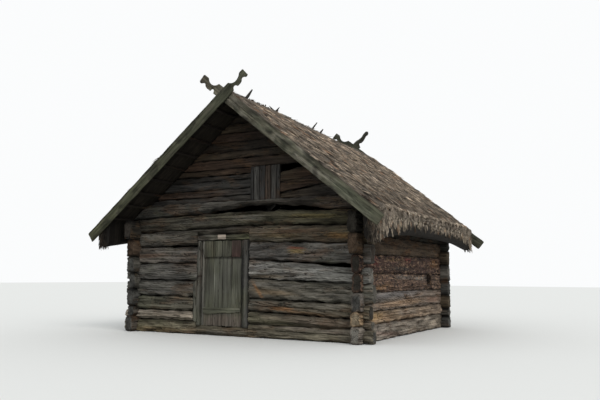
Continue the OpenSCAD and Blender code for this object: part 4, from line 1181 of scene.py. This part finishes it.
def eave_tufts(surface, side, count, each, rng):
    """Blunt tufts round the eave. Where the lip hangs low, near the ends, they reach all the way down.
    Those deep under the eave, and those at its front end, are darker, as painted shade.
    """
    y = rng.uniform(thatch_low.y + 0.01, thatch_high.y - 0.02, count)
    share = 1.05 * rng.uniform(0, 1, count) ** 1.3 - 0.05
    turn = rng.normal(0.26, 0.13, count)
    tint = straw_tint(rng, count, 0.26, 0.14) * np.interp(share, (0, 0.12), (0.72, 1))[:, None]
    reach = rng.uniform(0.10, 0.19, count)
    pick = np.repeat(np.arange(count), each)
    total = len(pick)
    y = np.clip(y[pick] + rng.uniform(-0.030, 0.030, total), thatch_low.y + 0.004, thatch_high.y - 0.004)
    low = np.array([under_of(surface, side, eave_x, place) for place in y])
    top = top_of(surface, side, np.full(total, slope_run - 0.004), y)
    hanging = np.clip((low.max() - low) / 0.12, 0, 1)
    deepest = 0.60 + 0.36 * hanging
    fallen = np.clip(share[pick] + rng.normal(0, 0.05, total), -0.05, 1)
    level_z = top - (top - low - lip_r * 0.6) * deepest * fallen
    centre = top - eave_r * math.cos(roof_angle)
    steep = np.arccos(np.clip((level_z - centre) / eave_r, 0, 0.785))
    steep = np.where(level_z > centre, steep, math.pi / 2)
    x = eave_x + eave_r * np.sin(steep) - 0.016
    roots = np.stack([side * (x + 0.006), y, level_z], axis=1)
    fall = steep + rng.normal(0.02, 0.06, total)
    turn = turn[pick] + rng.normal(0, 0.08, total)
    along = np.stack([side * np.cos(fall), np.sin(turn), -np.sin(fall)], axis=1)
    along /= np.linalg.norm(along, axis=1)[:, None]
    up = np.stack([side * np.sin(fall), 0 * fall, np.cos(fall)], axis=1)
    sunk = np.clip(((top - level_z) / (top - low) - 0.36) / 0.12, 0, 1) * (1 - hanging)
    # Painted shade: darker for tufts set deep under the eave and near its front end
    painted_shade = (1 - 0.90 * sunk) * (0.45 + 0.55 * np.clip((y - thatch_low.y - 0.05) / 0.10, 0, 1)) * 2.45
    tints = np.minimum(tint[pick] * rng.uniform(0.76, 1.24, (total, 1)) * painted_shade[:, None], straw_palest)
    return wisps(roots, along, up, reach[pick] * rng.uniform(0.75, 1.1, total),
                 rng.uniform(0.011, 0.020, total), rng.uniform(0.000, 0.018, total), tints, rng, 0.8,
                 root_painted_shade=0.72)


def verge_straw(surface, side, end, count, rng, shade):
    """Straw that hangs down over the cut end of the eave, front (-1) or rear (1). shade darkens all of it,
    and it is darker further in under the roof and lighter at the outer edge, as painted shade and light.
    """
    place = thatch_low.y + 0.001 if end < 0 else thatch_high.y - 0.001
    low = under_of(surface, side, eave_x, place)
    x = rng.uniform(eave_x - 0.06, eave_x + eave_r - 0.02, count)
    top = top_of(surface, side, np.minimum(x, slope_run - 0.004), np.full(count, place)) - 0.02
    level_z = top - (top - low - 0.10) * rng.uniform(0, 1, count)
    roots = np.stack([side * x, np.full(count, place - end * 0.004), level_z], axis=1)
    lean = rng.normal(0.10, 0.16, count)
    along = np.stack([side * np.sin(lean), 0 * lean, -np.cos(lean)], axis=1)
    up = np.broadcast_to(np.array((0, end * 1.0, 0)), roots.shape)
    length = rng.uniform(0.09, 0.20, count)
    width = rng.uniform(0.012, 0.022, count)
    lift = rng.uniform(0.004, 0.022, count)
    # Painted shade and light: dark further in under the roof, bright at the outer edge
    painted_light_outwards = np.interp(x, (eave_x - 0.06, eave_x + 0.02, eave_x + eave_r), (0.4, 0.9, 2.4))[:, None]
    tint = straw_tint(rng, count, 0.15, 0.30) * shade * painted_light_outwards
    return wisps(roots, along, up, length, width, lift, tint, rng, 0.7)


def ridge_straw(surface, side, count, rng):
    """Wisps that lie over the ridge from this slope to the other, mostly slantwise."""
    y = rng.uniform(thatch_low.y + 0.03, thatch_high.y - 0.25, count)
    x = rng.uniform(0.01, 0.14, count)
    roots = np.stack([side * x, y, top_of(surface, side, x, y) - 0.004], axis=1)
    turn = rng.uniform(0.5, 1.2, count)
    along = np.stack([-side * np.cos(turn), np.sin(turn), -0.05 * np.cos(turn)], axis=1)
    along /= np.linalg.norm(along, axis=1)[:, None]
    up = np.broadcast_to(np.array((0, 0, 1.0)), roots.shape)
    return wisps(roots, along, up, rng.uniform(0.10, 0.22, count), rng.uniform(0.010, 0.020, count),
                 rng.uniform(-0.010, 0.016, count), straw_tint(rng, count, 0.10, 0.45) * 0.8, rng, 0.55)


def straw_coat(name, side, groups):
    """One piece of visible straw on a slope, from its groups of wisps."""
    corners, faces, tints = joined(groups)
    if side < 0:
        faces = [face[::-1] for face in faces]
    finished(name, (corners, faces, tints), [thatch_straw])


thatch_straw = straw_material()
# The last number for each slope is painted shade on the straw over its front end
for side, name, slope_count, shade in ((1, "right", 3700, 0.50), (-1, "left", 3300, 0.14)):
    surface = surface_of(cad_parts[f"thatch_{name}"])
    thatch_body(f"thatch_body_{name}", f"thatch_{name}", side, surface, thatch_rng)
    straw_coat(f"thatch_straw_{name}", side, [slope_tufts(surface, side, slope_count, 5, thatch_rng)])
    straw_coat(f"thatch_edge_straw_{name}", side,
               [eave_tufts(surface, side, 590, 7, thatch_rng), ridge_straw(surface, side, 320, thatch_rng)])
    straw_coat(f"thatch_end_straw_{name}", side, [verge_straw(surface, side, -1, 300, thatch_rng, shade)])
    straw_coat(f"thatch_end_straw_rear_{name}", -side,
               [verge_straw(surface, side, 1, 260, thatch_rng, 0.7)])


# Ridge stakes: split, pointed stakes driven slantwise through the straw from both sides of the
# ridge, to pin it down.
stake_rng = np.random.default_rng(61)
stake_wood = wood_material("stake_wood", 2, stains=0.1, mossy=0.1)
stake_lean = math.radians(42)
stake_in = 0.14
right_slope = surface_of(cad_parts["thatch_right"])


def stake_edge(side, out, width):
    """A stake's lower (-1) or upper (1) edge, tapered to its point."""
    return lambda s: side * (width * np.interp(s, (0.044, out), (1, 0.28)))


stakes = []
stake_axes = []
for y, lean, out in ((-2.13, 1, 0.205), (-1.02, 1, 0.125), (0.60, 1, 0.200), (1.00, 1, 0.125),
                     (-1.10, -1, 0.165)):
    width = stake_rng.uniform(0.017, 0.021) + (0.014 if y < -2 else 0)
    ridge_here = top_of(right_slope, 1, (0.001, 0.001), np.array((y - 0.08, y + 0.08))).mean()
    stakes.append(timber((-stake_in, out - 0.004), stake_edge(-1, out, width), stake_edge(1, out, width),
                         (-0.015, 0.015), stake_rng, points=(5, 5, 2), spacing=0.02, worn=0.003, wave=0.002,
                         splits=2, split_depth=0.003, tints=(slate, dark)))
    stake_axes.append(((lean * math.sin(stake_lean), 0, math.cos(stake_lean)), (0, -1, 0),
                       (-lean * math.cos(stake_lean), 0, math.sin(stake_lean)), (0, y, ridge_here)))
assemble("split_ridge_stakes", stakes, stake_axes, (stake_wood, log_ends), "ridge_stakes")


# Bargeboards: thick boards that cover the ends of the battens and cross over the ridge, where
# they end in carved horses' heads. Green lichen has grown over the grey wood.
barge_rng = np.random.default_rng(71)
barge_w = 0.215
barge_low, barge_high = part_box("bargeboard_front_right")
barge_apex = barge_low.z + barge_high.x * roof_slope + barge_w * math.cos(roof_angle)
front_left_tints = ((0.072, 0.072, 0.042), (0.081, 0.083, 0.057))
front_right_tints = ((0.094, 0.092, 0.064), (0.136, 0.122, 0.090))
rear_tints = ((0.070, 0.070, 0.050), (0.060, 0.060, 0.044))
head_stain = (0.030, 0.028, 0.020)
lichen = (0.105, 0.112, 0.070)


def bitten(edge, s, length, bites, side):
    """An edge with round bites out of it, each (middle as a share of the length, level, radius)."""
    for middle, level_share, radius in bites:
        room = radius ** 2 - ((s - middle * length) / barge_w) ** 2
        deep = level_share + side * np.sqrt(np.maximum(room, 0))
        edge = np.where(room > 0, np.maximum(edge * side, deep * side) * side, edge)
    return edge * barge_w


def head_top(s, length):
    """Upper edge of a board with a horse's head: the hollow over the neck, then the mane and the poll."""
    edge = np.interp(s / length, (0.54, 0.79, 0.97, 0.99, 1.0), (0, -0.15, -0.14, -0.17, -0.88))
    return bitten(edge, s, length, [(0.54, 0.31, 0.76)], -1)


def head_foot(s, length):
    """Its lower edge: the notch under the neck, the throat and the muzzle."""
    edge = np.interp(s / length, (0.44, 0.50, 0.58, 0.66, 0.74, 0.84, 0.88, 0.90, 0.98, 1.0),
                     (-1, -0.99, -1.01, -0.97, -0.86, -0.84, -0.86, -0.95, -0.98, -0.88))
    return bitten(edge, s, length, [(0.36, -0.93, 0.21), (0.79, -0.95, 0.20)], 1)


def arm_top(s, length):
    """Upper edge of the board whose head has weathered down to a plain curved arm."""
    return barge_w * np.interp(s / length, (0.22, 0.40, 0.55, 0.72, 0.88, 0.95, 0.97),
                               (0, -0.07, -0.09, 0.02, 0.04, -0.03, -0.18))


def arm_foot(s, length):
    """Its lower edge."""
    return barge_w * np.interp(s / length, (0.18, 0.22, 0.28, 0.36, 0.52, 0.64, 0.76, 0.87, 0.94, 0.97),
                               (-1, -0.60, -0.53, -0.67, -0.65, -0.55, -0.44, -0.47, -0.38, -0.30))


def lichen_spots(count, colours):
    """Patches of lichen, bare wood and rot along a board, down from the ridge."""
    spots = []
    for i in range(count):
        s, z, long, tall = barge_rng.uniform((-3.9, -0.20, 0.04, 0.015), (0.1, -0.01, 0.17, 0.050))
        spots.append((s, z, long, tall, barge_rng.uniform(-12, 12), colours[i % len(colours)], 0.7))
    return spots


right_spots = lichen_spots(76, ((0.200, 0.185, 0.148), (0.030, 0.032, 0.022), (0.150, 0.146, 0.108),
                                (0.022, 0.022, 0.017)))
right_spots += [(-0.25, -0.07, 0.34, 0.08, 0, (0.160, 0.146, 0.118), 0.6),
                (-3.35, -0.12, 0.50, 0.08, 0, (0.118, 0.124, 0.086), 0.6),
                (-2.55, -0.16, 0.10, 0.05, 40, dark, 0.8), (-0.75, -0.20, 0.09, 0.03, 0, dark, 0.9),
                (-3.0, -0.20, 0.14, 0.025, 0, dark, 0.8)]
left_spots = lichen_spots(50, ((0.098, 0.092, 0.066), (0.020, 0.020, 0.014), (0.076, 0.078, 0.050)))
left_spots += [(-2.0, -0.008, 2.2, 0.016, 0, (0.024, 0.023, 0.017), 0.7)]
left_head = 0.515
right_head = 0.572
arm_share = 0.97
for name, node_name, lean, out, length, tints, spots in (
        ("left_bargeboard", "bargeboard_front_left", 1, -1, left_head, front_left_tints, left_spots),
        ("right_bargeboard", "bargeboard_front_right", -1, -1, right_head, front_right_tints, right_spots),
        ("rear_left_bargeboard", "bargeboard_rear_left", 1, 1, left_head, rear_tints, right_spots[:20]),
        ("rear_right_bargeboard", "bargeboard_rear_right", -1, 1, right_head, rear_tints, left_spots[:20])):
    low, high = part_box(node_name)
    reach = max(-low.x, high.x) / math.cos(roof_angle)
    worn_arm = node_name == "bargeboard_rear_left"
    upper, lower = (arm_top, arm_foot) if worn_arm else (head_top, head_foot)
    depth = (-high.y, -low.y) if out < 0 else (low.y, high.y)
    grain = wood_material(name + "_wood", 0, stain=head_stain, moss=lichen, stains=0.6,
                          mossy=0.5 if lean < 0 else 0.15, bleach=0.4, checks=0.35, lean=lean * roof_angle,
                          patches=3.0)
    board = timber((-reach + 0.014, length * (arm_share if worn_arm else 1)), lambda s: lower(s, length),
                   lambda s: upper(s, length), (depth[0] + 0.004, depth[1] - 0.010), barge_rng,
                   points=(16, 6, 2), spacing=0.016, worn=0.005, wave=0.0025, split_depth=0.005,
                   grime=0.25, tints=tints, spots=spots)
    axes = ((lean * math.cos(roof_angle), 0, math.sin(roof_angle)), (0, out, 0),
            (-lean * math.sin(roof_angle), 0, math.cos(roof_angle)), (0, 0, barge_apex))
    assemble(name, [board], axes, (grain, log_ends), node_name)


# Setting: a pale floor, even light from all round and one broad soft lamp, with the camera where
# the picture was taken from, near eye level.
def shown_directly(tree):
    """1 where the eye, a gloss or a glass looks straight at a thing, and 0 for the light it throws."""
    path = node(tree, "ShaderNodeLightPath")
    seen = reckon(tree, "MAXIMUM", path.outputs["Is Camera Ray"], path.outputs["Is Glossy Ray"])
    return reckon(tree, "MAXIMUM", seen, path.outputs["Is Transmission Ray"])


def floor_material():
    """Pale to the eye, but throwing back little light."""
    material, tree, shader = new_material("pale_floor", 1.0, 0.0)
    colour = blend_colour(tree, shown_directly(tree), (0.22, 0.22, 0.20, 1), (0.74, 0.74, 0.72, 1))
    tree.links.new(colour, shader.inputs["Base Color"])
    return material


floor_reach = 80.0
floor_mesh = bpy.data.meshes.new("studio_floor")
floor_mesh.from_pydata([(-floor_reach, -floor_reach, 0), (floor_reach, -floor_reach, 0),
                        (floor_reach, floor_reach, 0), (-floor_reach, floor_reach, 0)], [], [(0, 1, 2, 3)])
floor_mesh.materials.append(floor_material())
floor = bpy.data.objects.new("studio_floor", floor_mesh)
bpy.context.scene.collection.objects.link(floor)
floor.location.z = -0.001

world = bpy.data.worlds.new("even_light")
bpy.context.scene.world = world
world.use_nodes = True
around = world.node_tree
around.nodes.clear()
lighting = node(around, "ShaderNodeBackground", {"Color": (0.95, 0.98, 1.0, 1), "Strength": 0.95})
shown = node(around, "ShaderNodeBackground", {"Color": (0.965, 0.975, 0.98, 1), "Strength": 1.0})
both = node(around, "ShaderNodeMixShader", {0: shown_directly(around), 1: lighting.outputs[0],
                                            2: shown.outputs[0]})
node(around, "ShaderNodeOutputWorld", {0: both.outputs[0]})

lamp_data = bpy.data.lights.new("broad_lamp", "SUN")
lamp_data.energy = 0.9
lamp_data.angle = math.radians(35)
lamp_data.color = (1.0, 0.97, 0.93)
lamp = bpy.data.objects.new("broad_lamp", lamp_data)
lamp.rotation_euler = (math.radians(48), 0, math.radians(62))
bpy.context.scene.collection.objects.link(lamp)

picture_width = 600
focal_pixels = 652
eye = (6.907, -12.417, 1.093)
looks_up = 6.741
turned = 28.999
rolled = 0.348
camera_data = bpy.data.cameras.new("camera")
camera_data.sensor_width = 36.0
camera_data.lens = focal_pixels / picture_width * camera_data.sensor_width
camera_data.clip_end = 400
camera = bpy.data.objects.new("camera", camera_data)
camera.location = eye
camera.rotation_euler = (math.radians(90 + looks_up), 0, math.radians(turned))
camera.rotation_euler.rotate_axis("Z", math.radians(rolled))
bpy.context.scene.collection.objects.link(camera)
bpy.context.scene.camera = camera
bpy.context.scene.view_settings.view_transform = "Standard"
